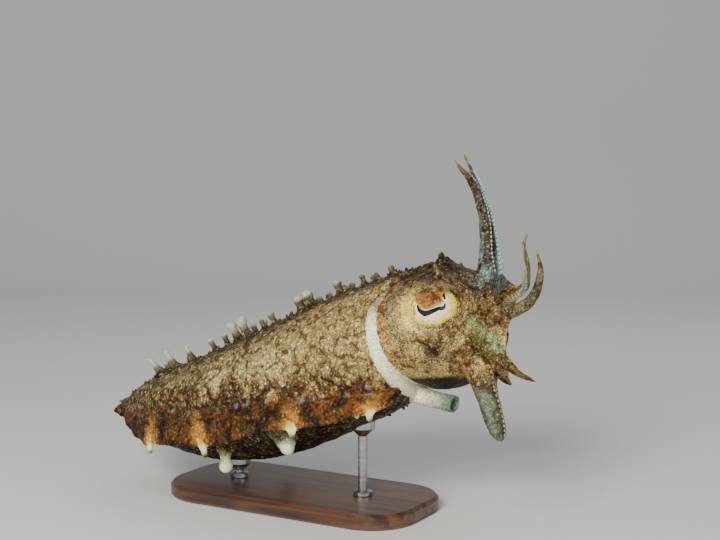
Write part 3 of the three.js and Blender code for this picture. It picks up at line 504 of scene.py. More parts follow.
# The iris flap's free edge and the pupil's middle line: mm forwards and upwards from the eye's middle
FLAP_EDGE = [[8.2, 6.5], [7.1, 5.6], [6.7, 3.8], [6.9, 1.9], [5.5, 0.6], [3, -0.2], [0, -1.1], [-2.4, -1.6],
             [-4.6, -1.2], [-6.7, 0.1], [-8.2, 2.4], [-9, 4.4], [-9, 5.94]]
PUPIL = [[-7.9, 1.3], [-7.3, -1.2], [-6.0, -2.7], [-4.2, -3.9], [-1.6, -3.7],
         [1.6, -2.8], [4.0, -2.0], [6.0, -2.1], [7.4, -1.5], [7.9, 0.4]]
PUPIL_HALF = [0.5, 0.95, 1.25, 1.65, 1.4, 1.2, 1.0, 1.15, 0.85, 0.45]
PUPIL_CORNER, CORNER_HALF = [[7.5, 6.2], [8.2, 3.4]], [0.9, 0.6]
# The brown stroke behind the pupil's rear tip is a painted shadow
PUPIL_HOOK_SHADOW, HOOK_SHADOW_HALF = [[-10.2, 1.8], [-10.2, -3.2]], [0.3, 0.6]
HEAD_FULLNESS, THROAT_DEPTH, THROAT_SPREAD = 0.92, 6.5, math.radians(32)


def head_section(x, angle, inset=0.0):
    x, angle = np.broadcast_arrays(np.asarray(x, float), np.asarray(angle, float))
    c, s = power(np.cos(angle), HEAD_FULLNESS), power(np.sin(angle), HEAD_FULLNESS)
    keel = THROAT_DEPTH * bell(around(angle, -math.pi / 2), 0, THROAT_SPREAD) * bell(x, 20, 24)
    reach = np.where(s > 0, head_top(x), head_bottom(x)) + keel
    point = np.stack([x, (head_half_width(x) - inset) * c, (reach - inset) * s], -1)
    ex, ey, ez = EYE_CENTRE
    eye = np.stack([np.full_like(x, ex), np.sign(c) * (ey + 12), np.full_like(x, ez)], -1)
    swell = EYE_SWELL * bell(np.linalg.norm(point - eye, axis=-1), 0, EYE_SWELL_REACH) * np.abs(c)
    push = unit(np.stack([np.full_like(x, 0.15), np.sign(c), np.full_like(x, 0.25)], -1))
    return point + push * swell[..., None]


def head_solid(sides=140, rows=60):
    angles = np.arange(sides) * TAU / sides
    rings = [head_section(x, angles) for x in np.linspace(HEAD_START, HEAD_FRONT, rows)]
    rings += [head_section(HEAD_FRONT, angles, inset) + [on, 0, 0] for inset, on in ((6, 1.5), (11, -2))]
    points, faces = loft(rings, [HEAD_START, 0, 0], [HEAD_FRONT - 4, 0, 0])
    return to_animal(points, head_part), faces


def collar_solid(sides=120, round_sides=20):
    """The pale collar that bulges out of the mantle's opening, thin under the lobe."""
    angles = np.arange(sides) * TAU / sides
    size = mix(4.6, 1.4, bell(around(angles, math.pi / 2), 0, math.radians(48)))
    x = margin_at(angles)
    centre = mantle_section(x, angles, 6.2)
    outwards = unit(mantle_section(x, angles) - centre)
    turn = np.arange(round_sides) * TAU / round_sides
    ring = centre[:, None] + outwards[:, None] * (size[:, None, None] * np.cos(turn)[None, :, None])
    ring[..., 0] += 1.6 + size[:, None] * np.sin(turn)[None]
    points = to_animal(ring.reshape(-1, 3), mantle_part)
    faces = []
    for i in range(sides):
        for k in range(round_sides):
            a, b = i * round_sides + k, i * round_sides + (k + 1) % round_sides
            c, d = [(n + round_sides) % len(points) for n in (a, b)]
            faces.append((a, b, d, c))
    return points, outward(points, faces)


def eye_part(side):
    """The eye's own frame: first axis across, second upwards, third out of the head."""
    gaze = unit(np.array([EYE_GAZE[0], side * EYE_GAZE[1], EYE_GAZE[2]]))
    across = unit(np.cross([0, 0, 1.0], gaze))
    upward = np.cross(gaze, across)
    turn = head_part[0] @ np.stack([across, upward, gaze], 1)
    centre = to_animal(np.array([EYE_CENTRE[0], side * EYE_CENTRE[1], EYE_CENTRE[2]]), head_part)
    return turn, centre


def ball(radius, part, segments=64, rows=40):
    """A ball round the origin of a part's own frame."""
    rings = []
    for tilt in np.linspace(0, math.pi, rows + 1)[1:-1]:
        turn = np.arange(segments) * TAU / segments
        ring = [np.sin(tilt) * np.cos(turn), np.sin(tilt) * np.sin(turn), np.full(segments, -np.cos(tilt))]
        rings.append(radius * np.stack(ring, -1))
    points, faces = loft(rings, [0, 0, -radius], [0, 0, radius])
    return to_animal(points, part), faces


def lid_edge(side):
    """The outline of the opening between the lids, in the eye's frame."""
    angle = np.linspace(LID_FROM, LID_TO, 60)
    wide, high = EYE_OPENING
    oval = np.stack([wide * np.cos(angle), high * np.sin(angle)], -1)
    flap, _, _ = path_through(np.array([[*p, 0.0] for p in FLAP_EDGE]))
    edge = np.concatenate([oval, flap(np.linspace(0, 1, 60)[1:-1])[:, :2]])
    return edge * [-side, 1]


def lid_bore(side, centre=(0, -6.5), start=EYE_RADIUS * 0.4, depth=16):
    """The body that cuts the opening between the lids, closed by fans to its centre line."""
    edge = lid_edge(side)
    near = np.concatenate([edge, np.full((len(edge), 1), start)], 1)
    points, faces = loft([near, near + [0, 0, depth]], [*centre, start], [*centre, start + depth])
    return to_animal(points, eye_part(side)), faces


# Place along the head, degrees up from its side, height and radius
HEAD_PAPILLAE = [[30, 84, 9, 5], [32, 54, 11, 3.6], [44, 60, 4, 2], [48, 42, 3.5, 1.8], [8, 40, 3.5, 1.8]]


def head_papillae():
    made = []
    for side in (-1, 1):
        for x, up, height, radius in HEAD_PAPILLAE:
            angle = math.pi - math.radians(up) if side < 0 else math.radians(up)
            point = to_animal(head_section(x, angle), head_part)
            size = height if side < 0 else height * 0.65
            direction = [-0.1, math.cos(angle) * 0.6, 1]
            made.append((papilla(point, direction, size, radius, 0), point, size))
    return made


# %% [markdown]
# ## The funnel
# A soft tube under the neck squirts water out. It is a row of rings along a path, wide
# and flat where it leaves the neck, and open in front.

# %% The funnel's rules
FUNNEL_POINTS = [
    [-3, 0, -21], [9, -2, -29], [20, -4, -33.5], [30, -5, -35.3], [41.5, -6, -36.8], [52, -6.5, -37.8]
]
# Share of the path and inset of the rings that turn in at the open end
FUNNEL_LIP = [(1, 0.5), (0.995, 1.2), (0.96, 1.8), (0.9, 2.3), (0.75, 2.8)]
funnel_half_width = profile([[0, 15], [0.25, 12], [0.5, 7.6], [0.8, 6], [1, 6.2]])
funnel_half_height = profile([[0, 8], [0.25, 6.6], [0.5, 5.5], [0.8, 5], [1, 5.3]])


def funnel_solid(sides=48):
    at, ahead, _ = path_through(FUNNEL_POINTS, centripetal=False)

    def ring(t, inset=0.0):
        across = unit(np.cross([0, 0, 1.0], ahead(t)))
        upward = np.cross(ahead(t), across)
        turn = (np.arange(sides) * TAU / sides)[:, None]
        wide, high = funnel_half_width(t) - inset, funnel_half_height(t) - inset
        return at(t) + across * wide * np.cos(turn) + upward * high * np.sin(turn)

    rings = [ring(t) for t in np.linspace(0, 1, 40)]
    rings += [ring(t, inset) for t, inset in FUNNEL_LIP]
    return loft(rings, at(0), at(0.72))


# %% [markdown]
# ## The arms
# Eight arms leave the crown in mirror pairs, the first pair raised and the fourth
# hanging as broad blades. Each is a tube whose section is flattened on the side that
# carries the suckers, along its own path, with a half width at a few shares of it.

# %% The arms' paths and widths
# Where an arm starts: place along the head and distance from its axis. The crown is its
# angle round the head from the top, and lean and inward turn its suckers.
CROWN = [[34, 14], [44, 19], [51, 20.5]]
ARM_DEPTH, SUCKER_SIDE_DEPTH = 0.78, 0.66
ARMS = {
    "arm_1_right": dict(
        crown=24, lean=1, inward=0.8,
        path=[[71.6, -8, 35], [71, -5.6, 53], [70.2, -5.4, 71], [66.2, -5.4, 87], [60, -5.4, 98],
              [55, -6, 103.5], [50, -7, 110.2]],
        widths=[[0, 9], [0.3, 7.4], [0.45, 4.6], [0.65, 4], [0.82, 2.8], [0.92, 1.6], [1, 0.5]]),
    "arm_1_left": dict(
        crown=24, lean=1,
        path=[[70.6, 8, 35], [72.3, 5.6, 52.5], [69.5, 4.8, 70], [64.5, 4.6, 85.5], [59.3, 4.6, 98],
              [55.5, 4.6, 105.5], [50.7, 5, 113.2]],
        widths=[[0, 9], [0.3, 7.4], [0.45, 4.6], [0.65, 4], [0.82, 2.8], [0.92, 1.6], [1, 0.5]]),
    "arm_2_right": dict(
        crown=66, lean=-0.4,
        path=[[84, -24.5, 20.5], [93, -27, 22.6], [101, -28.5, 25], [108.5, -30, 29.5], [114.6, -32, 39],
              [116, -32, 49], [113.6, -32, 59.3]],
        widths=[[0, 9], [0.28, 7.6], [0.42, 5.2], [0.56, 3.8], [0.75, 2.8], [0.9, 1.7], [1, 0.5]]),
    "arm_2_left": dict(
        crown=66, lean=-0.4,
        path=[[75, 21, 25.5], [80.5, 22, 28.8], [84, 23.5, 33.5], [85, 24.5, 42], [82.8, 26, 52.5],
              [82, 26, 59], [84.8, 25, 64.5]],
        widths=[[0, 9], [0.28, 6.8], [0.45, 3.4], [0.6, 2.6], [0.8, 1.9], [0.92, 1.2], [1, 0.4]]),
    "arm_3_right": dict(
        crown=111, lean=0.3,
        path=[[83, -25.5, 3], [91, -29.5, -2.8], [98, -32, -7], [105, -34, -10.6], [115.3, -36, -13.8]],
        widths=[[0, 9.6], [0.4, 8.6], [0.55, 6.4], [0.7, 4.2], [0.85, 2.4], [1, 0.5]]),
    "arm_3_left": dict(
        crown=111, lean=0.3,
        path=[[64, 22, -8], [69, 20, -17], [74, 16, -23], [80.5, 12, -26.2]],
        widths=[[0, 9.6], [0.4, 7.8], [0.6, 6.4], [0.8, 4.2], [1, 0.5]]),
    "arm_4_right": dict(
        crown=134, lean=0.9,
        path=[[73, -22, -8], [78.5, -25.5, -16], [82, -27.5, -23.5], [85, -29, -29], [88, -30, -36.5],
              [90.5, -30, -44.5], [92.5, -29.5, -50.6]],
        widths=[[0, 9.6], [0.3, 12], [0.5, 11], [0.65, 9], [0.85, 8], [0.94, 6.4], [1, 3.4]]),
    "arm_4_left": dict(
        crown=157, lean=0.9,
        path=[[64, 18, -9], [63, 18.5, -18], [62.5, 18, -27], [64, 17, -34], [67, 15.5, -41],
              [70.5, 13.5, -47]],
        widths=[[0, 9.6], [0.3, 9.4], [0.5, 8.2], [0.65, 7], [0.85, 6], [0.94, 4.6], [1, 2.4]]),
}
mouth_axis = head_part[0] @ np.array([1.0, 0, 0])
crown_centre = to_animal(np.array([HEAD_FRONT, 0, 0]), head_part)


# %% The arms' bodies
class Arm:
    """One arm: where its middle lies, which way its suckers face and how wide it is."""

    def __init__(self, name, crown, lean, path, widths, inward=0.0):
        self.name, self.lean, self.inward = name, lean, inward
        side, angle = (-1 if name.endswith("right") else 1), math.radians(crown)
        start = [[x, side * r * math.sin(angle), r * math.cos(angle)] for x, r in CROWN]
        self.at, self.ahead, self.length = path_through([*to_animal(np.array(start), head_part), *path])
        self.half = profile(widths)

    def station(self, t):
        """Middle, direction ahead, way to the suckers and way to one side at shares of the length."""
        t = np.atleast_1d(t)
        centre, ahead = self.at(t), self.ahead(t)
        out = centre - crown_centre
        out = unit(out - (out @ mouth_axis)[:, None] * mouth_axis)
        reference = self.lean * mouth_axis - 0.7 * out + [0, self.inward, 0]
        oral = unit(reference - (reference * ahead).sum(1)[:, None] * ahead)
        return centre, ahead, oral, np.cross(ahead, oral)

    def surface(self, t, angle, grow=0.0):
        """Points of the arm's skin at a share of its length and an angle from its side."""
        centre, _, oral, side = self.station(t)
        half = (self.half(t) + grow)[..., None] if np.ndim(t) else self.half(t) + grow
        c, s = power(np.cos(angle), 0.85), np.sin(angle)
        flat = np.where(s > 0, SUCKER_SIDE_DEPTH, 1.0)
        across, deep = np.reshape(c, (-1, 1)), np.reshape(flat * s, (-1, 1))
        return centre + side * half * across + oral * half * ARM_DEPTH * deep

    def solid(self, rows=110, sides=40):
        angle = (np.arange(sides) + 0.5) * TAU / sides
        rings = [self.surface(np.full(sides, t), angle) for t in np.linspace(0, 1, rows)]
        return loft(rings, self.at(0), self.at(1) + self.ahead(1))


WEB_START, WEB_MOST, WEB_SCALLOP, WEB_THICK = 14, 0.72, 3, (4.4, 1.8)


def web_solid(first, second, reach, rows=14, columns=12):
    """The web of skin between two arms: thick at the crown, thin at its free edge."""
    u = np.arange(columns + 1) / columns
    w = u[:, None]
    longest = min(reach, WEB_MOST * first.length, WEB_MOST * second.length)
    faces = [[], []]
    for i in range(rows + 1):
        along = mix(WEB_START, longest - WEB_SCALLOP * np.sin(math.pi * u), i / rows)
        on_first, on_second = along / first.length, along / second.length
        a, _, a_oral, _ = first.station(on_first)
        b, _, b_oral, _ = second.station(on_second)
        half = mix(first.half(on_first), second.half(on_second), u)[:, None]
        oral = unit(mix(a_oral, b_oral, w))
        for side, face in zip((1, -1), faces):
            face.append(mix(a, b, w) - oral * (half * 0.2 + side * mix(*WEB_THICK, i / rows) / 2))
    return slab(*[np.array(face) for face in faces])


arms = [Arm(name, **sizes) for name, sizes in ARMS.items()]
arm_named = {arm.name: arm for arm in arms}
# How far in mm the web before each arm reaches along it
WEBS = {2: 44, 3: 68, 4: 48}
webs = [
    web_solid(arm_named[f"arm_{n - 1}_{side}"], arm_named[f"arm_{n}_{side}"], reach)
    for n, reach in WEBS.items() for side in ("right", "left")
]
for arm in arms:
    print(arm.name, "is", round(float(arm.length)), "mm long")

# %% [markdown]
# ## The mouth
# Between the arms a frilled skin collar rings the beak, and only the dark tip of the
# beak shows inside it. Both are rings again, the frill a ripple on the radius.


# %% Mouth collar and beak
def mouth_solid(sides=126):
    turn = np.arange(sides) * TAU / sides

    def ring(x, radius, frill):
        r = radius * (1 + frill * np.cos(turn * 7))
        return np.stack([np.full(sides, x), r * np.cos(turn), r * np.sin(turn)], -1)

    f = HEAD_FRONT
    stations = [(f - 7, 9, 0), (f - 4, 9.4, 0), (f - 1, 9.5, 0.03), (f + 1.5, 9.6, 0.09), (f + 3, 9.5, 0.14)]
    stations += [(f + 3.4, 8.6, 0.14), (f + 2.6, 7.5, 0.12), (f + 1, 6.4, 0.06), (f - 0.5, 5.5, 0)]
    points, faces = loft([ring(*s) for s in stations], [f - 7, 0, 0], [f - 1, 0, 0])
    return to_animal(points, head_part), faces


# %% [markdown]
# ## From separate forms to one skin
# A Boolean union of so many curved forms leaves creases. A voxel remesh joins
# everything that overlaps into one closed surface of even, small faces. Its creases are
# then filled and the whole is relaxed a little, as flesh has no sharp inner corners. The
# mantle with its fins is one skin, and the head with collar, funnel and arms the other:
# between them is the real free edge of the mantle.


# %% Joining, remeshing and smoothing
def joined(name, solids):
    points, faces, base = [], [], 0
    for p, f in solids:
        points.append(np.asarray(p))
        faces += [tuple(i + base for i in face) for face in f]
        base += len(p)
    return mesh_of(name, np.concatenate(points), faces)


def apply_modifiers(piece):
    graph = bpy.context.evaluated_depsgraph_get()
    made = bpy.data.meshes.new_from_object(piece.evaluated_get(graph), depsgraph=graph)
    piece.modifiers.clear()
    old = piece.data
    piece.data = made
    made.name = piece.name
    bpy.data.meshes.remove(old)


def fused(name, solids, voxel):
    piece = joined(name, solids)
    remesh = piece.modifiers.new("fuse", "REMESH")
    remesh.mode = "VOXEL"
    remesh.voxel_size = voxel * MM
    remesh.use_smooth_shade = True
    apply_modifiers(piece)
    return piece


def cut_away(piece, solids):
    """Cuts each solid out of the piece, one after the other."""
    for solid in solids:
        tool = mesh_of("cutter", *solid)
        cut = piece.modifiers.new("cut", "BOOLEAN")
        cut.operation, cut.solver, cut.object = "DIFFERENCE", "MANIFOLD", tool
        apply_modifiers(piece)
        bpy.data.objects.remove(tool)


def numbers_of(items, key, width):
    """One property of all vertices, edges or attribute values, as a row of numbers each."""
    flat = np.empty(len(items) * width, np.int32 if key == "vertices" else np.float32)
    items.foreach_get(key, flat)
    return flat.reshape(-1, width)


def vertices_of(mesh):
    return numbers_of(mesh.vertices, "co", 3).astype(float) / MM - ANIMAL_AT


def normals_of(mesh):
    return numbers_of(mesh.vertices, "normal", 3).astype(float)


def put_vertices(mesh, points):
    mesh.vertices.foreach_set("co", ((points + ANIMAL_AT) * MM).astype(np.float32).ravel())
    mesh.update()


def keep_attribute(mesh, name, kind, values):
    key = {"FLOAT": "value", "FLOAT_VECTOR": "vector", "FLOAT_COLOR": "color"}[kind]
    layer = mesh.attributes.new(name, kind, "POINT")
    layer.data.foreach_set(key, np.asarray(values, np.float32).ravel())


def relaxed(piece, times, strength=0.5):
    smooth = piece.modifiers.new("relax", "SMOOTH")
    smooth.iterations, smooth.factor = times, strength
    apply_modifiers(piece)


def filleted(piece, times, chosen=None, strength=0.7):
    """Fills creases: points in a hollow move out along their normals, all others stay."""
    mesh = piece.data
    a, b = numbers_of(mesh.edges, "vertices", 2).T
    points = vertices_of(mesh)
    n = len(points)
    count = np.bincount(a, minlength=n) + np.bincount(b, minlength=n)
    weight = strength * (np.ones(n) if chosen is None else chosen(points))
    for turn in range(times):
        if turn % 5 == 0:
            put_vertices(mesh, points)
            normals = normals_of(mesh)
        sums = [np.bincount(a, points[b, k], n) + np.bincount(b, points[a, k], n) for k in range(3)]
        lean = np.stack(sums, -1) / count[:, None] - points
        rise = np.maximum((lean * normals).sum(1), 0)
        points = points + normals * (rise * weight)[:, None]
    put_vertices(mesh, points)


def near_crown(points):
    """1 where the arms leave the head, 0 well away from there."""
    h = to_part(points, head_part)
    off = np.linalg.norm(h - [54, 0, 0], axis=1)
    return smooth_step(-off, -52, -34) * smooth_step(h[:, 0], 36, 42)


def thinned(piece, most):
    piece.data.calc_loop_triangles()
    count = len(piece.data.loop_triangles)
    if count > most:
        thin = piece.modifiers.new("thin", "DECIMATE")
        thin.ratio = most / count
        apply_modifiers(piece)
    piece.data.calc_loop_triangles()
    piece.data.shade_smooth()
    print(piece.name, count, "triangles, kept", len(piece.data.loop_triangles))


# %% The two skins
MANTLE_VOXEL, HEAD_VOXEL = ((1.0, 0.72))
mantle_bumps = [*mantle_papillae(), *fin_papillae(-1), *fin_papillae(1)]
mantle_forms = [mantle_solid(), fin_solid(-1), fin_solid(1), *[form for form, _, _ in mantle_bumps]]
skin_mantle = fused("skin_mantle", mantle_forms, MANTLE_VOXEL)
relaxed(skin_mantle, 3)
filleted(skin_mantle, 30)

head_forms = [head_solid(), collar_solid(), funnel_solid(), mouth_solid()]
head_forms += [*[arm.solid() for arm in arms], *webs]
head_forms += [ball(EYE_RADIUS + EYE_LID, eye_part(side)) for side in (-1, 1)]
head_forms += [form for form, _, _ in head_papillae()]
skin_head = fused("skin_head", head_forms, HEAD_VOXEL)
filleted(skin_head, 120, near_crown)
relaxed(skin_head, 2)
for side in (-1, 1):
    cut_away(skin_head, [ball(EYE_RADIUS + EYE_GAP, eye_part(side)), lid_bore(side)])

# %% [markdown]
# ## Where each patch of skin lies
# The markings follow the body, not the world: the fin is rust brown, the collar white,
# the arms' mouth side pale. For every point of the skin the rules above are read
# backwards, which gives its place along the mantle, its angle from the back, its
# distance from the eye, or its share along the nearest arm. Colours are then mixed
# from those numbers and kept in the mesh as attributes.


# %% Reading the rules backwards
def cloud(points, size, seed):
    """A soft random value between 0 and 1 that changes over about the given size in mm."""
    q = np.asarray(points, float) / size + seed * 17.31
    cell = np.floor(q)
    f = q - cell
    f = f * f * (3 - 2 * f)
    total = np.zeros(len(q))
    for dx in (0, 1):
        for dy in (0, 1):
            for dz in (0, 1):
                corner = cell + [dx, dy, dz]
                value = np.sin(corner @ np.array([127.1, 311.7, 74.7]) + seed) * 43758.5453
                weight = np.abs(1 - dx - f[:, 0]) * np.abs(1 - dy - f[:, 1]) * np.abs(1 - dz - f[:, 2])
                total += weight * (value - np.floor(value))
    return total


def clouds(points, size, seed):
    """Three clouds of halving size laid over each other."""
    layers = [cloud(points, size / 2**k, seed + k) / 2**k for k in range(3)]
    return sum(layers) / 1.75


def nearest(points, source):
    """Index of the source point nearest to each point, and the distance to it."""
    tree = KDTree(len(source))
    for i, p in enumerate(source):
        tree.insert(p, i)
    tree.balance()
    found = [tree.find(p) for p in points]
    return np.array([f[1] for f in found]), np.array([f[2] for f in found])


def where_on_mantle(points):
    """Place along the mantle, angle, height over its skin and the points in its own frame."""
    q = to_part(points, mantle_part)
    x = q[:, 0]
    up = q[:, 2] - mantle_axis(x)
    reach = np.maximum(np.where(up > 0, mantle_top(x), mantle_bottom(x)), 1)
    c, s = q[:, 1] / np.maximum(mantle_half_width(x), 1), up / reach
    angle = np.arctan2(s, c)
    raised = np.linalg.norm(q - mantle_section(x, angle), axis=1) * np.sign(np.hypot(c, s) - 1)
    return x, angle, raised, q


def where_on_fins(points, every=4):
    """Share of the fin's length, share of its width and side, and how far off the fin is."""
    grid, at = [], []
    for side in (-1, 1):
        upper, lower = fin_grid(side)
        middle = ((upper + lower) / 2)[::every]
        rows, columns = middle.shape[:2]
        s = np.linspace(0, 1, rows)[:, None] * np.ones(columns)
        share = np.linspace(0, 1, columns)[None] * np.ones((rows, 1))
        grid.append(middle.reshape(-1, 3))
        at.append(np.stack([s.ravel(), share.ravel(), np.full(rows * columns, side)], -1))
    index, distance = nearest(points, np.concatenate(grid))
    return np.concatenate(at)[index], distance


# %% [markdown]
# ## Mixing the colours of the skin
# Each zone is a colour and a weight between 0 and 1. Laying one zone over the next
# keeps their order plain to read, as coats of paint would be. Fine marks, such as the
# dots of the colour cells, are left to the material.


# %% A small paint box
def srgb(r, g, b):
    c = np.array([r, g, b]) / 255.0
    return np.where(c <= 0.04045, c / 12.92, ((c + 0.055) / 1.055) ** 2.4)


# Damp flesh takes up a little blue
SKIN_DEPTH = np.array([1.02, 0.97, 0.82])


class Coats:
    """Named colours laid over each other on a skin's points, with the strength of its fine marks.

    The three marks are veins, dots and pale grains, each from 0 to 1.
    """

    def __init__(self, count, tones, ground, marks):
        self.tones = {name: srgb(*tone) for name, tone in tones.items()}
        self.colour = np.tile(self.tones[ground], (count, 1))
        self.marks = np.tile(np.array(marks, float), (count, 1))

    def lay(self, tone, weight, marks=None):
        w = np.clip(weight, 0, 1)[:, None]
        self.colour = mix(self.colour, self.tones[tone], w)
        if marks is not None:
            self.marks = mix(self.marks, np.array(marks, float), w)

    def keep_in(self, mesh):
        for name, values in (("tone", self.colour * SKIN_DEPTH), ("marks", self.marks)):
            opaque = np.concatenate([values, np.ones((len(values), 1))], 1)
            keep_attribute(mesh, name, "FLOAT_COLOR", opaque)


# %% [markdown]
# ## The colours of the mantle and fins
# The ground is olive with cream patches, a dark ridge between the two rows of papillae
# and dark blotches above the fins. The fins are rust brown, with an orange glow inside
# each point of their edge. Colours painted by hand would be lost with each new remesh,
# so every zone is a rule that finds its own place again.

# %% The mantle's body
MANTLE_TONES = {
    "olive": (172, 156, 108), "cream": (214, 204, 152), "cloud brown": (124, 96, 54),
    "painted back shade": (122, 100, 60), "ridge brown": (84, 60, 34), "straw": (188, 168, 114),
    "blotch brown": (104, 66, 36), "amber": (186, 142, 82), "rear olive": (92, 80, 50),
    "painted belly shade": (48, 34, 20), "belly moss": (104, 100, 52), "fin brown": (112, 78, 40),
    "rust": (138, 86, 38), "bark": (62, 38, 20), "edge bark": (58, 40, 22), "fin moss": (98, 84, 44),
    "orange glow": (222, 162, 74), "yellow glow": (240, 206, 120), "slate": (138, 142, 150),
    "pale moss": (168, 180, 132), "knob grey": (106, 106, 86), "knob white": (170, 182, 170),
    "sage": (138, 146, 98), "mint": (220, 246, 212), "edge mint": (226, 240, 208),
    "inner shade": (60, 44, 34),
}


class MantlePlaces:
    """Where the points of the mantle's skin lie, and the clouds that break up its colours."""

    def __init__(self, points):
        self.points = points
        self.x, self.angle, self.raised, q = where_on_mantle(points)
        self.up = np.degrees(np.abs(around(self.angle, math.pi / 2)))
        self.under = fin_root(self.x) - q[:, 2]
        on_fin, self.distance = where_on_fins(points)
        self.s, self.share = on_fin[:, 0], on_fin[:, 1]
        self.soft, self.patch = clouds(points, 26, 3), clouds(points, 15, 9)
        self.small, self.tiny = clouds(points, 6, 21), clouds(points, 3.4, 27)


def paint_body(coats, on):
    up, patch, small = on.up, on.patch, on.small
    coats.lay("cream", smooth_step(patch, 0.26, 0.5) * smooth_step(up, 26, 50), [0.75, 0.7, 1.0])
    coats.lay("cloud brown", smooth_step(on.soft, 0.56, 0.7) * 0.5, [1.0, 0.9, 0.7])
    # Painted shade: the mantle is darkened over its upper half, most towards the ridge
    coats.lay("painted back shade", smooth_step(-up + 20 * (patch - 0.5), -76, -34) * 0.65, [1.0, 0.8, 0.8])
    coats.lay("ridge brown", smooth_step(-up - 24 * (small - 0.5), -46, -20) * 0.9, [1.0, 0.9, 0.6])
    coats.lay("straw", smooth_step(on.x, 150, 200) * smooth_step(up, 20, 40) * 0.8, [0.65, 0.8, 1.0])
    blotches = smooth_step(np.maximum(small, on.tiny + 0.02), 0.52, 0.6)
    coats.lay("blotch brown", smooth_step(on.under, -15, -4) * blotches * 0.9, [1.0, 0.9, 0.4])
    coats.lay("amber", smooth_step(on.under, -8, -1) * (1 - blotches) * 0.6, [0.8, 0.8, 0.6])
    coats.lay("rear olive", smooth_step(-on.x, -130, -30) * 0.5, [1.0, 0.9, 0.9])
    # Painted shade: the belly below the fin roots is painted dark brown
    coats.lay("painted belly shade", smooth_step(on.under, 1, 8), [1.0, 0.7, 0.5])
    moss = smooth_step(on.under, 3, 12) * smooth_step(small, 0.48, 0.62)
    coats.lay("belly moss", moss * 0.9, [0.9, 0.7, 0.9])


# %% The fins
def paint_fins(coats, on):
    s, share, small = on.s, on.share, on.small
    edge = smooth_step(-on.distance, -3.9, -2.6)
    fin = edge * smooth_step(share + 0.7 * (small - 0.5), 0.02, 0.3)
    rust = smooth_step(s, 0.2, 0.75)
    bark = smooth_step(small, 0.47, 0.58) * smooth_step(share, 0.15, 0.5)
    edge_bark = smooth_step(on.soft, 0.5, 0.66) * smooth_step(share, 0.4, 0.85)
    moss = smooth_step(on.tiny, 0.58, 0.68) * smooth_step(share, 0.55, 0.95)
    coats.lay("fin brown", fin, [0.9, 0.8, 0.1])
    coats.lay("rust", fin * rust * smooth_step(on.patch, 0.4, 0.6), [0.8, 0.8, 0.0])
    coats.lay("bark", fin * bark, [1.0, 0.6, 0.1])
    coats.lay("edge bark", fin * edge_bark, [1.0, 0.5, 0.3])
    coats.lay("fin moss", fin * moss * 0.8, [0.9, 0.6, 0.3])
    for place, _, _ in FIN_PAPILLAE:
        from_papilla = (s - place) * (FIN_TO - FIN_FROM) / mix(9.0, 11.0, share)
        spread = np.hypot(from_papilla, (1 - share) / 0.8)
        glow = fin * smooth_step(-spread, -1.15, -0.1)
        coats.lay("orange glow", glow * 0.9, [0.5, 0.4, 0.2])
        coats.lay("yellow glow", glow * smooth_step(-spread, -0.45, -0.05), [0.1, 0.2, 0.2])
    two_rows = bell(share, 0.14, 0.05) + bell(share, 0.33, 0.05)
    ovals = np.abs(np.sin(s * 128 + 3 * np.sin(s * 31))) * smooth_step(cloud(on.points, 9, 77), 0.3, 0.5)
    coats.lay("slate", edge * two_rows * smooth_step(ovals, 0.72, 0.86) * 0.8, [0.2, 0.2, 0])
    dashes = bell(on.up, 83, 2.2) * smooth_step(np.sin(on.x * 0.42 + 2 * np.sin(on.x * 0.09)), 0.55, 0.85)
    dashes = dashes * smooth_step(on.x, 20, 60) * smooth_step(-on.distance, -9, -3)
    coats.lay("pale moss", dashes * 0.8, [0.1, 0.2, 0])


# %% The mantle's papillae and the shade under its edge
def paint_mantle_papillae(coats, on):
    points, raised = on.points, on.raised
    back = smooth_step(-on.up, -52, -40)
    coats.lay("knob grey", smooth_step(raised, 1.6, 4.5) * back * 0.9, [0.3, 0.5, 0.2])
    coats.lay("knob white", smooth_step(raised, 5, 9) * back, [0.0, 0.1, 0])
    for side in (-1, 1):
        for x, off, height, _ in FLANK_PAPILLAE:
            foot, direction = flank_place(x, off, side)
            end = foot + unit(direction) * height
            near = smooth_step(-np.linalg.norm(points - foot, axis=1), -height - 4, -height * 0.3)
            coats.lay("sage", near * smooth_step(raised, 0.6, 2.5), [0.5, 0.6, 0.3])
            near = smooth_step(-np.linalg.norm(points - end, axis=1), -height * 0.85, -height * 0.35)
            coats.lay("mint", near, [0.1, 0.2, 0])
    tips = np.zeros(len(points))
    at_edge = smooth_step(on.share, 0.93, 1)
    for _, foot, height in [*fin_papillae(-1), *fin_papillae(1)]:
        away = np.linalg.norm(points - foot, axis=1)
        tips = np.maximum(tips, smooth_step(-away, -height - 0.5, -height * 0.2) * at_edge)
    coats.lay("edge mint", tips, [0, 0.1, 0])
    inside = smooth_step(on.x - margin_at(on.angle), -4, 1) * smooth_step(-raised, 2.5, 4)
    coats.lay("inner shade", inside, [0.2, 0.2, 0])


mantle_places = MantlePlaces(vertices_of(skin_mantle.data))
mantle_coats = Coats(len(mantle_places.points), MANTLE_TONES, "olive", [0.9, 0.7, 0.9])
for paint in (paint_body, paint_fins, paint_mantle_papillae):
    paint(mantle_coats, mantle_places)
mantle_coats.keep_in(skin_mantle.data)
print("mantle painted with", len(MANTLE_TONES), "tones")


# %% [markdown]
# ## The colours of the head, collar, funnel and arms
# The head is olive with cream cheeks, a yellow ring round each eye and a green stripe
# towards the third arms. Each pair of arms has tones of its own, such as ice blue edges
# on the raised first pair and grey on the hanging fourth. The rules use the head's, an
# eye's or an arm's own frame, so the colours follow each of them.

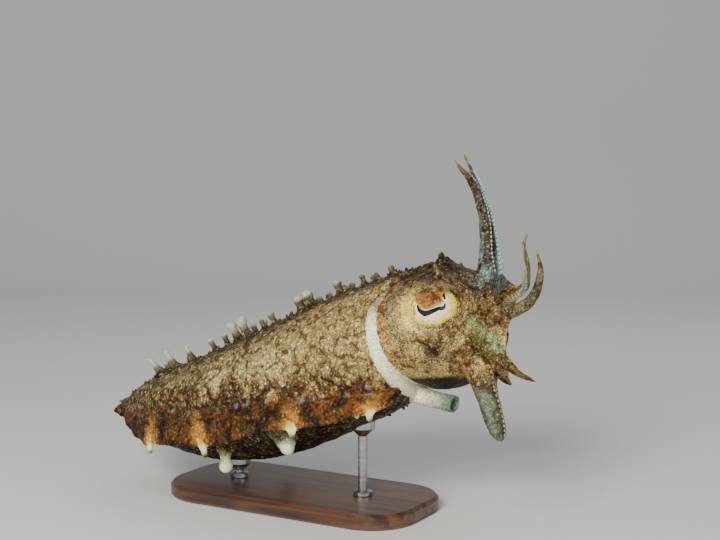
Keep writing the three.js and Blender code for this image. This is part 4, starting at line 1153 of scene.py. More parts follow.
# %% Where the points of the head's skin lie
HEAD_TONES = {
    "olive": (186, 162, 108), "cream": (222, 200, 142), "crown olive": (120, 96, 56),
    "crown brown": (64, 46, 26), "cloud brown": (96, 66, 38), "painted throat shade": (30, 22, 16),
    "arm brown": (130, 104, 62), "raised arm": (88, 84, 66), "ice blue": (134, 170, 186),
    "blue cups": (150, 182, 196), "grey cups": (112, 116, 112), "raised tip": (138, 136, 120),
    "hooked arm": (136, 112, 72), "outer olive": (118, 118, 88), "warm cups": (158, 118, 82),
    "dark cups": (76, 78, 56), "middle cups": (118, 124, 104), "forward arm": (120, 108, 64),
    "forward cups": (158, 120, 76), "hanging root": (182, 150, 92), "hanging grey": (92, 104, 88),
    "hanging sheen": (140, 158, 144), "hanging cups": (120, 88, 52), "stripe green": (152, 176, 130),
    "blot brown": (74, 46, 26), "tan arc": (190, 140, 84), "grey arc": (150, 150, 124),
    "pale yellow": (250, 228, 150), "eye yellow": (255, 234, 104), "brow brown": (70, 46, 28),
    "cheek brown": (96, 68, 42), "hinge brown": (60, 36, 22), "flap tan": (172, 118, 54),
    "flap brown": (112, 66, 32), "flap edge": (214, 176, 104), "collar white": (240, 250, 230),
    "funnel white": (250, 255, 240), "funnel grey": (112, 134, 124), "brow papilla": (148, 134, 88),
    "mouth tan": (176, 150, 112),
}


def near_arms(points, every=1.6):
    """Per point: number of the nearest arm, share along it, facing and distance in half widths.

    The facing runs from 1 on the suckers' side to -1 on the other.
    """
    path, at = [], []
    for number, arm in enumerate(arms):
        for t in np.linspace(0, 1, int(arm.length / every)):
            path.append(arm.at(t))
            at.append([number, t])
    path, at = np.array(path), np.array(at)
    index, distance = nearest(points, path)
    number, t = at[index, 0].astype(int), at[index, 1]
    facing, half = np.zeros(len(points)), np.zeros(len(points))
    for k, arm in enumerate(arms):
        own = number == k
        centre, _, oral, _ = arm.station(t[own])
        facing[own] = (unit(points[own] - centre) * oral).sum(1)
        half[own] = arm.half(t[own])
    return number, t, facing, distance / np.maximum(half, 1.0)


class HeadPlaces:
    """Where the points of the head's skin lie, and the clouds that break up its colours."""

    def __init__(self, points):
        self.points = points
        self.h = to_part(points, head_part)
        self.x, self.angle, _, self.q = where_on_mantle(points)
        self.number, self.t, self.facing, self.away = near_arms(points)
        self.soft, self.patch = clouds(points, 20, 5), clouds(points, 11, 12)
        self.small, self.tiny = clouds(points, 4.5, 31), clouds(points, 2.2, 33)
        self.cheek = np.stack([self.h[:, 0], -np.abs(self.h[:, 1]), self.h[:, 2]], -1)


# %% The head's ground and the arms
def paint_skull(coats, on):
    forward, height, patch = on.h[:, 0], on.h[:, 2], on.patch
    coats.lay("cream", smooth_step(-height, -10, 12) * smooth_step(patch, 0.2, 0.5), [0.5, 1.0, 0.6])
    coats.lay("crown olive", smooth_step(height, 14, 26) * smooth_step(patch, 0.3, 0.55), [1.0, 1.0, 0.7])
    coats.lay("crown brown", smooth_step(height + 10 * (patch - 0.5), 26, 36) * 0.9, [1.0, 0.9, 0.3])
    cloudy = smooth_step(on.soft, 0.56, 0.72) * smooth_step(forward, 18, 34)
    coats.lay("cloud brown", cloudy * 0.4, [1, 0.9, 0.3])
    # Painted shade: the underside of the head, below its lit flank, is painted near black
    throat = smooth_step(-height, 22.5, 26) * smooth_step(-forward, -48, -42)
    coats.lay("painted throat shade", throat, [0.4, 0.4, 0.1])


def paint_first_arm(coats, on, own, cups):
    t, facing = on.t, on.facing
    coats.lay("raised arm", own, [1.0, 0.9, 0.5])
    edges = np.maximum(smooth_step(facing, 0.1, 0.5), smooth_step(-facing, 0.5, 0.85) * bell(t, 0.45, 0.2))
    edges = np.maximum(edges, bell(t, 0.33, 0.08)) * smooth_step(0.5 * (on.small + on.tiny), 0.34, 0.54)
    coats.lay("ice blue", own * edges * 0.85, [0.5, 0.6, 0.4])
    coats.lay(cups, own * smooth_step(facing, 0.25, 0.7) * smooth_step(t, 0.3, 0.36), [0.1, 0.3, 0.3])
    coats.lay("raised tip", own * smooth_step(t, 0.84, 0.97) * 0.7, [0.2, 0.3, 0.2])


def paint_second_arm(coats, on, own, cups):
    facing, outer = on.facing, smooth_step(on.t, 0.42, 0.56)
    coats.lay("hooked arm", own, [0.8, 1.0, 0.4])
    back = smooth_step(on.t, 0.4, 0.6) * smooth_step(-facing, -0.2, 0.4)
    coats.lay("outer olive", own * back, [0.7, 0.9, 0.3])
    coats.lay(cups, own * smooth_step(facing, -0.2, 0.35) * outer, [0.3, 0.5, 0])
    coats.lay("middle cups", own * smooth_step(facing, 0.66, 0.9) * outer, [0.2, 0.4, 0.2])


def paint_third_arm(coats, on, own, cups):
    coats.lay("forward arm", own, [0.9, 1.0, 0.5])
    cup_side = smooth_step(on.facing, 0.1, 0.55) * smooth_step(on.t, 0.55, 0.7)
    coats.lay(cups, own * cup_side, [0.3, 0.5, 0])


def paint_fourth_arm(coats, on, own, cups):
    t, facing = on.t, on.facing
    coats.lay("hanging root", own * smooth_step(-t, -0.6, -0.5), [0.7, 0.9, 0.5])
    coats.lay("hanging grey", own * smooth_step(t, 0.54, 0.68), [0.5, 0.7, 0.4])
    sheen = smooth_step(t, 0.6, 0.72) * bell(facing, -0.5, 0.35)
    coats.lay("hanging sheen", own * sheen * 0.6, [0.3, 0.5, 0.3])
    cup_side = smooth_step(facing, 0.2, 0.6) * smooth_step(t, 0.45, 0.6)
    coats.lay(cups, own * cup_side, [0.9, 0.7, 0.3])


# The paint of each pair, and the tones round the suckers of its right and its left arm
ARM_PAINTS = {
    "1": (paint_first_arm, "grey cups", "blue cups"),
    "2": (paint_second_arm, "warm cups", "dark cups"),
    "3": (paint_third_arm, "forward cups", "forward cups"),
    "4": (paint_fourth_arm, "hanging cups", "hanging cups"),
}


def paint_arms(coats, on):
    arm = smooth_step(-on.away, -1.6, -1.15) * smooth_step(on.t + 0.2 * (on.patch - 0.5), 0.12, 0.4)
    coats.lay("arm brown", arm * 0.7, [0.9, 0.9, 0.5])
    for k, arm_here in enumerate(arms):
        _, pair, side = arm_here.name.split("_")
        paint, right_cups, left_cups = ARM_PAINTS[pair]
        paint(coats, on, (on.number == k) * arm, right_cups if side == "right" else left_cups)


# %% The cheeks
CHEEK_STRIPE = [
    [48.5, -32.2, 7.5], [52.6, -30.5, 2.7], [58.5, -36.5, -1], [63.4, -40, -5], [65.5, -41.5, -8]
]
# Place of each dark blot, its width and its weight
CHEEK_BLOTS = [
    ([25.8, -44.9, -2.6], 6, 0.8), ([40.7, -36.7, -9.8], 2.2, 0.8), ([50.3, -39, -12.7], 2.4, 0.8)
]


def paint_cheeks(coats, on):
    stripe_at, _, _ = path_through(np.array(CHEEK_STRIPE, float))
    _, from_stripe = nearest(on.cheek, stripe_at(np.linspace(0, 1, 60)))
    stripe = bell(from_stripe, 0, 3.9) * mix(0.7, 1, smooth_step(on.small, 0.3, 0.6))
    coats.lay("stripe green", stripe, [0.35, 1.0, 0.5])
    for place, width, weight in CHEEK_BLOTS:
        from_blot = np.linalg.norm(on.cheek - np.array(place), axis=1)
        blot = bell(from_blot, 0, width) * weight * smooth_step(on.small, 0.3, 0.55)
        coats.lay("blot brown", blot, [1.0, 1.0, 0.2])


# %% Round the eyes
def paint_eye_rings(coats, on, here, front, rise):
    r = np.hypot(front, rise)
    rear = smooth_step(-front / np.maximum(r, 1), -0.1, 0.55) * here
    coats.lay("tan arc", rear * bell(r, 32, 4.2) * smooth_step(rise, -34, -4) * 0.75, [0.5, 1.0, 0.2])
    level = smooth_step(-np.abs(rise), -24, -14)
    coats.lay("grey arc", rear * bell(r, 26, 2.6) * level * 0.75, [0.3, 1.0, 0])
    beside = smooth_step(-np.abs(rise + 1), -15, -7)
    coats.lay("pale yellow", rear * bell(r, 15.5, 5.5) * mix(0.25, 1, beside), [0.2, 0.8, 0.4])
    oval = np.hypot(front / EYE_OPENING[0], rise / EYE_OPENING[1])
    ring = smooth_step(-oval, -1.36, -1.1) * smooth_step(-rise, -8, -5)
    coats.lay("eye yellow", here * ring, [0.15, 0.6, 0.1])
    coats.lay("brow brown", here * bell(front, -3, 6) * bell(rise, -25, 8) * 0.85, [0.9, 1, 0])
    cheek = bell(front, 12, 9) * bell(rise, -26, 8) * smooth_step(on.small, 0.4, 0.6)
    coats.lay("cheek brown", here * cheek * 0.8, [1, 1, 0.2])
    coats.lay("hinge brown", here * bell(front, 6, 2.0) * bell(rise, 8.5, 2.5) * 0.75, [0.9, 1, 0])


def paint_iris_flap(coats, on, here, front, rise):
    wide = smooth_step(-np.abs(front + 0.6), -9.2, -7.8)
    flap = here * wide * smooth_step(rise, -2.6, -1.8) * (rise < 12)
    low = smooth_step(-rise, -10.5, -5)
    coats.lay("flap tan", flap * low, [0.5, 0.7, 0])
    coats.lay("flap brown", flap * low * smooth_step(on.small, 0.45, 0.6) * 0.8)
    edge_at, _, _ = path_through(np.array([[*p, 0.0] for p in FLAP_EDGE]))
    _, from_edge = nearest(np.stack([front, rise, 0 * rise], -1), edge_at(np.linspace(0, 1, 80)))
    coats.lay("flap edge", flap * bell(from_edge, 0, 0.8) * 0.8, [0.1, 0.3, 0])


def paint_eyes(coats, on):
    for side in (-1, 1):
        e = to_part(on.points, eye_part(side))
        front, rise = -side * e[:, 0], e[:, 1]
        here = smooth_step(side * on.h[:, 1], 8, 20) * smooth_step(-on.h[:, 0], -60, -52)
        paint_eye_rings(coats, on, here, front, rise)
        paint_iris_flap(coats, on, here, front, rise)


# %% Collar, funnel and mouth
def paint_collar_and_funnel(coats, on):
    margin = margin_at(on.angle)
    collar = smooth_step(on.x - margin, -9, -5) * smooth_step(margin - on.x, -7.6, -6.2)
    below = smooth_step(-on.q[:, 2] + mantle_axis(on.x), -34, -8)
    coats.lay("collar white", collar * below, [0.05, 0.5, 0.5])
    funnel_at, _, _ = path_through(FUNNEL_POINTS, centripetal=False)
    steps = 60
    index, distance = nearest(on.points, funnel_at(np.linspace(0, 1, steps)))
    along = index / (steps - 1)
    reach = np.maximum(funnel_half_width(along), funnel_half_height(along)) + 1.2
    tube = smooth_step(reach - distance, -0.6, 0.8) * smooth_step(-on.h[:, 2] + 7 * along, 27, 32)
    coats.lay("funnel white", tube, [0.05, 0.8, 0.4])
    coats.lay("funnel grey", tube * smooth_step(along, 0.6, 1.0), [0.2, 0.7, 0.4])


def paint_brow_and_mouth(coats, on):
    for _, foot, height in head_papillae()[1::len(HEAD_PAPILLAE)]:
        from_tip = np.linalg.norm(on.points - foot - np.array([0, 0, height]), axis=1)
        coats.lay("brow papilla", smooth_step(-from_tip, -height, -height * 0.4) * 0.9, [0.5, 0.6, 0.5])
    mouth = bell(np.hypot(on.h[:, 1], on.h[:, 2]), 0, 11) * smooth_step(on.h[:, 0], 50, 55)
    coats.lay("mouth tan", mouth, [0.1, 0.4, 0.3])


head_places = HeadPlaces(vertices_of(skin_head.data))
head_coats = Coats(len(head_places.points), HEAD_TONES, "olive", [0.7, 1.0, 0.5])
for paint in (
    paint_skull, paint_arms, paint_cheeks, paint_eyes, paint_collar_and_funnel, paint_brow_and_mouth
):
    paint(head_coats, head_places)
head_coats.keep_in(skin_head.data)
print("head painted with", len(HEAD_TONES), "tones")

# %% [markdown]
# ## The skin's material
# Cuttlefish skin is full of tiny colour cells, dots of about half a millimetre, over
# pale grains with dark veins between them and thin cracks between fields of grains. An
# image could carry all this, but it would blur close up. The broad colours come from the
# attribute laid above, and the fine marks are made here from noise and cells, by the
# strength that the second attribute gives them. A little bump makes the grains stand up.


# %% Node helpers
def new_material(name):
    material = bpy.data.materials.new(name)
    material.use_nodes = True
    tree = material.node_tree
    tree.nodes.clear()
    shader = tree.nodes.new("ShaderNodeBsdfPrincipled")
    out = tree.nodes.new("ShaderNodeOutputMaterial")
    tree.links.new(shader.outputs["BSDF"], out.inputs["Surface"])
    return material, tree, shader


def add(tree, kind, inputs=None, **settings):
    """A node with its settings, whose inputs are given values or linked to other nodes."""
    node = tree.nodes.new(kind)
    for key, value in settings.items():
        setattr(node, key, value)
    for key, value in (inputs or {}).items():
        fill(tree, node.inputs[key], value)
    return node


def fill(tree, socket, value):
    if isinstance(value, bpy.types.NodeSocket):
        tree.links.new(value, socket)
    else:
        socket.default_value = value


def math_node(tree, operation, a, b=0.0, clamp=False):
    return add(tree, "ShaderNodeMath", {0: a, 1: b}, operation=operation, use_clamp=clamp).outputs[0]


def shifted(tree, place, by, reach):
    """The place moved in all directions by a noise's colour, by up to half the reach."""
    centred = add(tree, "ShaderNodeVectorMath", {0: by, 1: (0.5, 0.5, 0.5)}, operation="SUBTRACT")
    scaled = add(tree, "ShaderNodeVectorMath", {0: centred.outputs[0], "Scale": reach}, operation="SCALE")
    return add(tree, "ShaderNodeVectorMath", {0: place, 1: scaled.outputs[0]}, operation="ADD").outputs[0]


def ramp(tree, value, low, high):
    """0 at the low value and 1 at the high one, with a soft step between them."""
    inputs = {"Value": value, "From Min": low, "From Max": high}
    return add(tree, "ShaderNodeMapRange", inputs, interpolation_type="SMOOTHSTEP").outputs["Result"]


def span(tree, value, low, high):
    """A value of 0 to 1 spread over low to high."""
    inputs = {"Value": value, "To Min": low, "To Max": high}
    return add(tree, "ShaderNodeMapRange", inputs).outputs["Result"]


def blend(tree, weight, a, b, how="MIX"):
    node = tree.nodes.new("ShaderNodeMix")
    node.data_type, node.blend_type = "RGBA", how
    for socket, value in zip((node.inputs[0], node.inputs[6], node.inputs[7]), (weight, a, b)):
        fill(tree, socket, value)
    return node.outputs[2]


def colour(r, g, b):
    return (*srgb(r, g, b), 1.0)


def times(tree, *factors):
    product = factors[0]
    for factor in factors[1:]:
        product = math_node(tree, "MULTIPLY", product, factor, clamp=True)
    return product


def object_place(tree):
    return add(tree, "ShaderNodeTexCoord").outputs["Object"]


def kept_colour(tree, name):
    return add(tree, "ShaderNodeAttribute", attribute_name=name).outputs["Color"]


def noise(tree, place, scale, detail, **others):
    inputs = {"Vector": place, "Scale": scale, "Detail": detail, **others}
    return add(tree, "ShaderNodeTexNoise", inputs).outputs


def cells(tree, place, scale, feature="F1"):
    return add(tree, "ShaderNodeTexVoronoi", {"Vector": place, "Scale": scale}, feature=feature).outputs


def set_inputs(tree, shader, **inputs):
    """Sets or links the shader's inputs, named with _ for a space."""
    for key, value in inputs.items():
        fill(tree, shader.inputs[key.replace("_", " ")], value)


def bump(tree, height, strength, distance):
    inputs = {"Height": height, "Strength": strength, "Distance": distance}
    return add(tree, "ShaderNodeBump", inputs).outputs["Normal"]


# %% The skin material
def skin_material(name, roughness, relief, grain_scale):
    """Granular skin: pale grains, a dark ragged network between them, cracks and colour cells."""
    material, tree, shader = new_material(name)
    place = object_place(tree)
    tone = kept_colour(tree, "tone")
    marks = {"Color": kept_colour(tree, "marks")}
    veins_by, dots_by, pale_by = add(tree, "ShaderNodeSeparateColor", marks).outputs
    broad = noise(tree, place, 85.0, 6.0, Roughness=0.72)
    ragged = noise(tree, place, 260.0, 5.0, Roughness=0.75)
    fine = noise(tree, place, 900.0, 3.0, Roughness=0.6)
    bent = shifted(tree, place, ragged["Color"], 0.005)
    wandering = shifted(tree, bent, broad["Color"], 0.014)

    # Grains, each with a tint of its own, and the network between them
    grain_cells = cells(tree, bent, grain_scale)
    grains = ramp(tree, grain_cells["Distance"], 0.62, 0.12)
    tint = add(tree, "ShaderNodeSeparateColor", {"Color": grain_cells["Color"]}).outputs[0]
    fields = cells(tree, wandering, 72.0, "DISTANCE_TO_EDGE")
    lines = times(tree, ramp(tree, fields["Distance"], 0.10, 0.03), ramp(tree, ragged["Fac"], 0.42, 0.54))
    network = math_node(tree, "MAXIMUM", times(tree, ramp(tree, broad["Fac"], 0.57, 0.68), 0.7), lines)
    gaps = times(tree, ramp(tree, ragged["Fac"], 0.48, 0.62), 0.8)
    dark = times(tree, math_node(tree, "MAXIMUM", network, gaps), veins_by)
    deep = blend(tree, 1.0, tone, colour(102, 82, 66), "MULTIPLY")
    base = blend(tree, dark, tone, deep)
    base = blend(tree, times(tree, ramp(tree, grains, 0.6, 0.1), veins_by, 0.7), base, deep)
    light = times(tree, grains, ramp(tree, ragged["Fac"], 0.62, 0.44), ramp(tree, tint, 0.25, 0.6), pale_by)
    base = blend(tree, light, base, blend(tree, 0.65, tone, colour(226, 218, 164)))
    glint = times(tree, ramp(tree, tint, 0.93, 0.96), grains, pale_by, 0.7)
    base = blend(tree, glint, base, colour(236, 232, 192))

    # Cracks, blots of a millimetre or two and the small dots of the colour cells
    crack = blend(tree, 1.0, tone, colour(92, 58, 44), "MULTIPLY")
    base = blend(tree, times(tree, lines, veins_by, 0.85), base, crack)
    coarse = cells(tree, bent, 360.0)
    chance = add(tree, "ShaderNodeSeparateColor", {"Color": coarse["Color"]}).outputs[1]
    blots = times(tree, ramp(tree, coarse["Distance"], 0.46, 0.2), ramp(tree, chance, 0.66, 0.74), veins_by)
    blots = times(tree, blots, ramp(tree, broad["Fac"], 0.40, 0.56))
    base = blend(tree, times(tree, blots, 0.9), base, colour(34, 19, 12))
    spots = ramp(tree, cells(tree, place, 960.0)["Distance"], 0.50, 0.30)
    dots = times(tree, spots, dots_by, ramp(tree, ragged["Fac"], 0.26, 0.46))
    base = blend(tree, times(tree, dots, 0.85), base, colour(44, 28, 18))

    rise = math_node(tree, "ADD", times(tree, grains, 0.55), times(tree, fine["Fac"], 0.35))
    height = math_node(tree, "SUBTRACT", rise, times(tree, dark, 0.3))
    set_inputs(tree, shader, Base_Color=base, Normal=bump(tree, height, relief, 0.0011))
    set_inputs(tree, shader, Roughness=span(tree, ragged["Fac"], roughness - 0.1, roughness + 0.1))
    set_inputs(tree, shader, Specular_IOR_Level=0.14, Subsurface_Weight=0.06, Subsurface_Scale=1.0)
    set_inputs(tree, shader, Subsurface_Radius=(0.002, 0.001, 0.0006))
    return material


mantle_skin = skin_material("damp_mantle_skin", 0.56, 0.6, 480.0)
head_skin = skin_material("damp_head_skin", 0.52, 0.4, 620.0)
for piece, coat in ((skin_mantle, mantle_skin), (skin_head, head_skin)):
    piece.data.materials.clear()
    piece.data.materials.append(coat)

# %% [markdown]
# ## Relief of the skin
# Between the large papillae the mantle is covered with low bumps. Bump shading alone
# leaves the outline smooth, so the vertices are also moved along their normals by up to
# about a millimetre, and by less where the skin has few veins, as on the pale tips.


# %% Low bumps in the mesh
def raise_skin(piece, amount, size, seed):
    points, normals = vertices_of(piece.data), normals_of(piece.data)
    veins = numbers_of(piece.data.attributes["marks"].data, "color", 4)[:, 0]
    height = (clouds(points, size, seed) - 0.5) * amount * (0.35 + 0.65 * veins)
    put_vertices(piece.data, points + normals * height[:, None])
    print(piece.name, "raised by up to", round(float(np.abs(height).max()), 2), "mm")


# How far the bumps may differ in height and how wide they are, in mm, and their seed
raise_skin(skin_mantle, 2.6, 7.0, 41)
raise_skin(skin_head, 1.1, 4.0, 57)
MOST_TRIANGLES = 190000
thinned(skin_mantle, MOST_TRIANGLES)
thinned(skin_head, MOST_TRIANGLES)

# %% [markdown]
# ## Suckers
# Cuttlefish arms carry rows of small stalked cups out to the tip. Modelling each one
# by hand would be slow. Here a Geometry Nodes tree sets one small cup on every point
# of a list, turned to the arm's mouth side and scaled with the arm's width.


# %% Sucker places and one cup
SUCKERS_FROM, SUCKERS_TO, LARGEST_SUCKER = 0.34, 0.985, 1.35
# Places across the arm in half widths, in four rows where it is wide and two where it is thin
FOUR_ROWS, TWO_ROWS = (-0.62, -0.22, 0.22, 0.62), (-0.45, 0.45)


def sucker_places():
    points, turns, sizes = [], [], []
    for arm in arms:
        t = SUCKERS_FROM
        while t < SUCKERS_TO:
            half = float(arm.half(t))
            centre, _, oral, side = (v[0] for v in arm.station(t))
            radius = min(LARGEST_SUCKER, 0.22 + half * 0.22)
            for place in FOUR_ROWS if half > 3 else TWO_ROWS:
                lift = SUCKER_SIDE_DEPTH * math.sqrt(max(1 - abs(place) ** 2.35, 0.05)) * ARM_DEPTH
                points.append(centre + side * half * place + oral * half * lift)
                turns.append(unit(oral + side * place * 0.7))
                sizes.append(radius * (1 if abs(place) < 0.5 else 0.85))
            t += radius * 2.0 / arm.length
    return np.array(points), np.array(turns), np.array(sizes)


def small_form(name, outline, sides, material):
    """A form turned from its outline, to be set on many points."""
    points, faces = lathe(outline, sides, [0, 0, 0], [0, 0, 1])
    mesh = bpy.data.meshes.new(name)
    mesh.from_pydata(points, [], faces)
    mesh.materials.append(material)
    return placed(name, mesh)


def sucker_material():
    material, tree, shader = new_material("pale_sucker_skin")
    tone = kept_colour(tree, "tone")
    mottle = noise(tree, object_place(tree), 320.0, 3.0)["Fac"]
    pale = blend(tree, 0.35, tone, colour(206, 206, 190))
    base = blend(tree, ramp(tree, mottle, 0.35, 0.65), tone, pale)
    set_inputs(tree, shader, Base_Color=base, Normal=bump(tree, mottle, 0.3, 0.0004), Roughness=0.45)
    return material


# %% A tree that sets a form on every point of a list
def forms_tree(name):
    """A tree with three inputs of its own: the form, how much it swells, and its material."""
    tree = bpy.data.node_groups.new(name, "GeometryNodeTree")
    kinds = {"Geometry": "Geometry", "Form": "Object", "Swell": "Float", "Material": "Material"}
    for socket, kind in kinds.items():
        tree.interface.new_socket(socket, in_out="INPUT", socket_type="NodeSocket" + kind)
    tree.interface.new_socket("Geometry", in_out="OUTPUT", socket_type="NodeSocketGeometry")
    given = add(tree, "NodeGroupInput").outputs
    dots = add(tree, "GeometryNodeMeshToPoints", {"Mesh": given["Geometry"]}).outputs["Points"]
    form = add(tree, "GeometryNodeObjectInfo", {"Object": given["Form"]}).outputs["Geometry"]
    turn = add(tree, "GeometryNodeInputNamedAttribute", {"Name": "turn"}, data_type="FLOAT_VECTOR")
    size = add(tree, "GeometryNodeInputNamedAttribute", {"Name": "size"})
    lean = {"Vector": turn.outputs["Attribute"]}
    lean = add(tree, "FunctionNodeAlignRotationToVector", lean, axis="Z").outputs["Rotation"]
    scale = math_node(tree, "MULTIPLY", size.outputs["Attribute"], given["Swell"])
    copies = {"Points": dots, "Instance": form, "Rotation": lean, "Scale": scale}
    copies = add(tree, "GeometryNodeInstanceOnPoints", copies).outputs["Instances"]
    real = add(tree, "GeometryNodeRealizeInstances", {"Geometry": copies}).outputs["Geometry"]
    coat = add(tree, "GeometryNodeSetMaterial", {"Geometry": real, "Material": given["Material"]})
    add(tree, "NodeGroupOutput", {"Geometry": coat.outputs["Geometry"]})
    return tree


def points_with_forms(name, points, turns, sizes, form, material, swell=1.0):
    """Plain mesh of copies of the form, one on each point, its Z axis along the turn."""
    holder = mesh_of(name, points, [])
    keep_attribute(holder.data, "turn", "FLOAT_VECTOR", turns)
    keep_attribute(holder.data, "size", "FLOAT", sizes)
    tree = forms_tree(name + "_tree")
    modifier = holder.modifiers.new("forms", "NODES")
    modifier.node_group = tree
    sockets = {i.name: i.identifier for i in tree.interface.items_tree if i.in_out == "INPUT"}
    modifier[sockets["Form"]] = form
    modifier[sockets["Swell"]] = swell * MM
    modifier[sockets["Material"]] = material
    apply_modifiers(holder)
    holder.data.shade_smooth()
    bpy.data.objects.remove(form)
    print(holder.name, len(points), "forms,", len(holder.data.polygons), "faces")
    return holder


SUCKER_OUTLINE = [
    [0, -0.9], [0.55, -0.9], [0.62, -0.2], [1.0, 0.25], [1.0, 0.62], [0.78, 0.75], [0.5, 0.35], [0, 0.3]
]
pale_sucker = sucker_material()
sucker_cup = small_form("sucker_cup", SUCKER_OUTLINE, 12, pale_sucker)
suckers = points_with_forms("arm_suckers", *sucker_places(), sucker_cup, pale_sucker)

# %% [markdown]
# ## Small papillae of the skin
# Between the large knobs stand hundreds of tiny ones, which break the outline of the
# back. They are too many to sink by hand: places are drawn at random on the mantle's
# skin, with a fixed seed and more of them along the back, and the same tree sets a small
# cone on each.


# %% Places for the small papillae
SMALL_PAPILLAE, SMALL_SIZES, SMALL_SWELL, JITTER = 520, (0.45, 1.25), 1.15, 0.18
CONE_OUTLINE = [[0, -1.0], [1.0, -1.0], [0.82, -0.1], [0.5, 0.5], [0.34, 0.95], [0.18, 1.2], [0, 1.28]]


def mantle_chance(points):
    """How likely a small papilla is at each point: most along the back, some on the belly."""
    x, angle, raised, _ = where_on_mantle(points)
    up = np.degrees(np.abs(around(angle, math.pi / 2)))
    on_body = smooth_step(-np.abs(raised), -2.6, -1.2)
    by_height = 0.12 + bell(up, 16, 15) + 0.35 * smooth_step(-up, -80, -50)
    return on_body * by_height * smooth_step(-x, -262, -255) + 1e-9


def small_papillae_places(piece, count, seed):
    points, normals = vertices_of(piece.data), normals_of(piece.data)
    weight = mantle_chance(points)
    rng = np.random.default_rng(seed)
    chosen = rng.choice(len(points), size=count, replace=False, p=weight / weight.sum())
    sizes = rng.uniform(*SMALL_SIZES, count) ** 1.4
    jitter = rng.normal(0, JITTER, (count, 3))
    return points[chosen], unit(normals[chosen] + jitter), sizes


def coloured_from(piece, source, lighter):
    """The skin's own colours for forms that stand on it, a little lighter."""
    index, _ = nearest(vertices_of(piece.data), vertices_of(source.data))
    for name, factor in (("tone", lighter), ("marks", 1)):
        values = numbers_of(source.data.attributes[name].data, "color", 4)[index]
        if factor != 1:
            values[:, :3] = np.clip(values[:, :3] * factor, 0, 1)
        keep_attribute(piece.data, name, "FLOAT_COLOR", values)


small_papillae = points_with_forms(
    "small_papillae",
    *small_papillae_places(skin_mantle, SMALL_PAPILLAE, 11),
    small_form("skin_cone", CONE_OUTLINE, 8, mantle_skin),
    mantle_skin,
    SMALL_SWELL,
)
coloured_from(suckers, skin_head, 1.3)
coloured_from(small_papillae, skin_mantle, 1.12)

# %% [markdown]
# ## Eyes
# A cuttlefish's pupil is a dark W in a pale iris, under a clear wet cornea. The ball
# gets a flat map of the eye's own axes, and the material draws the W from it by plain
# arithmetic, so its edge stays sharp at any distance.


# %% The eyes
EYE_MAP_SPAN = 40.0


def eye_material():
    material, tree, shader = new_material("wet_eye")
    flat = add(tree, "ShaderNodeUVMap", uv_map="EyeMap").outputs["UV"]
    parts = add(tree, "ShaderNodeSeparateXYZ", {"Vector": flat}).outputs

    def plus(a, b):
        return math_node(tree, "ADD", a, b)

    def minus(a, b):
        return math_node(tree, "SUBTRACT", a, b)

    def product(a, b):
        return math_node(tree, "MULTIPLY", a, b)

    def length(a, b):
        return math_node(tree, "SQRT", plus(product(a, a), product(b, b)))

    def stroke(points, halves):
        """Distance outside a line of legs whose half width changes from point to point."""
        outside = None
        for (ax, ay), (bx, by), half_a, half_b in zip(points, points[1:], halves, halves[1:]):
            dx, dy = bx - ax, by - ay
            px, py = minus(u, ax), minus(v, ay)
            dot = plus(product(px, dx), product(py, dy))
            t = math_node(tree, "DIVIDE", dot, dx * dx + dy * dy, clamp=True)
            away = length(minus(px, product(t, dx)), minus(py, product(t, dy)))
            gap = minus(away, plus(product(t, half_b - half_a), half_a))
            outside = gap if outside is None else math_node(tree, "MINIMUM", outside, gap)
        return outside

    u, v = [product(minus(parts[axis], 0.5), EYE_MAP_SPAN) for axis in ("X", "Y")]
    outside = math_node(tree, "MINIMUM", stroke(PUPIL, PUPIL_HALF), stroke(PUPIL_CORNER, CORNER_HALF))
    pupil = ramp(tree, outside, 0.2, -0.15)
    # Painted shadow: a brown stroke behind the pupil's rear tip, laid on the iris
    hook_shadow = ramp(tree, stroke(PUPIL_HOOK_SHADOW, HOOK_SHADOW_HALF), 0.4, -0.2)
    shimmer = noise(tree, object_place(tree), 420.0, 4.0)["Fac"]
    silver = blend(tree, ramp(tree, shimmer, 0.35, 0.7), colour(206, 202, 176), colour(232, 230, 212))
    iris = blend(tree, ramp(tree, length(u, v), 7.8, 11.0), silver, colour(234, 206, 124))
    iris = blend(tree, product(hook_shadow, 0.75), iris, colour(96, 74, 44))
    rim = ramp(tree, math_node(tree, "ABSOLUTE", minus(outside, 0.35)), 0.35, 0.0)
    iris = blend(tree, product(rim, 0.7), iris, colour(240, 238, 224))
    set_inputs(tree, shader, Base_Color=blend(tree, pupil, iris, colour(10, 13, 15)), Roughness=0.3)
    set_inputs(tree, shader, Specular_IOR_Level=0.1, Coat_Weight=0.45, Coat_Roughness=0.04)
    return material


def eyeball(side, name, material):
    part = eye_part(side)
    points, faces = ball(EYE_RADIUS, part, 96, 60)
    piece = mesh_of(name, points, faces, material)
    local = to_part(points, part)
    layer = piece.data.uv_layers.new(name="EyeMap")
    corner = np.empty(len(piece.data.loops), np.int32)
    piece.data.loops.foreach_get("vertex_index", corner)
    flat = np.stack([-side * local[:, 0], local[:, 1]], -1)[corner] / EYE_MAP_SPAN + 0.5
    layer.data.foreach_set("uv", flat.astype(np.float32).ravel())
    piece.data.shade_smooth()
    return piece


wet_eye = eye_material()
eye_pieces = {
    side: eyeball(side, name, wet_eye) for side, name in ((-1, "eyeball_right"), (1, "eyeball_left"))
}
print("eyes of", 2 * EYE_RADIUS, "mm")

# %% [markdown]
# ## The stand
# The animal swims, so the model needs a stand: a dark wooden base and two steel rods
# with wide round ends under the belly. The solids already have the right shape. They
# keep their meshes and only get finer materials, with grain along the base and fine
# scratches round the rods. The beak between the arms keeps its mesh too.


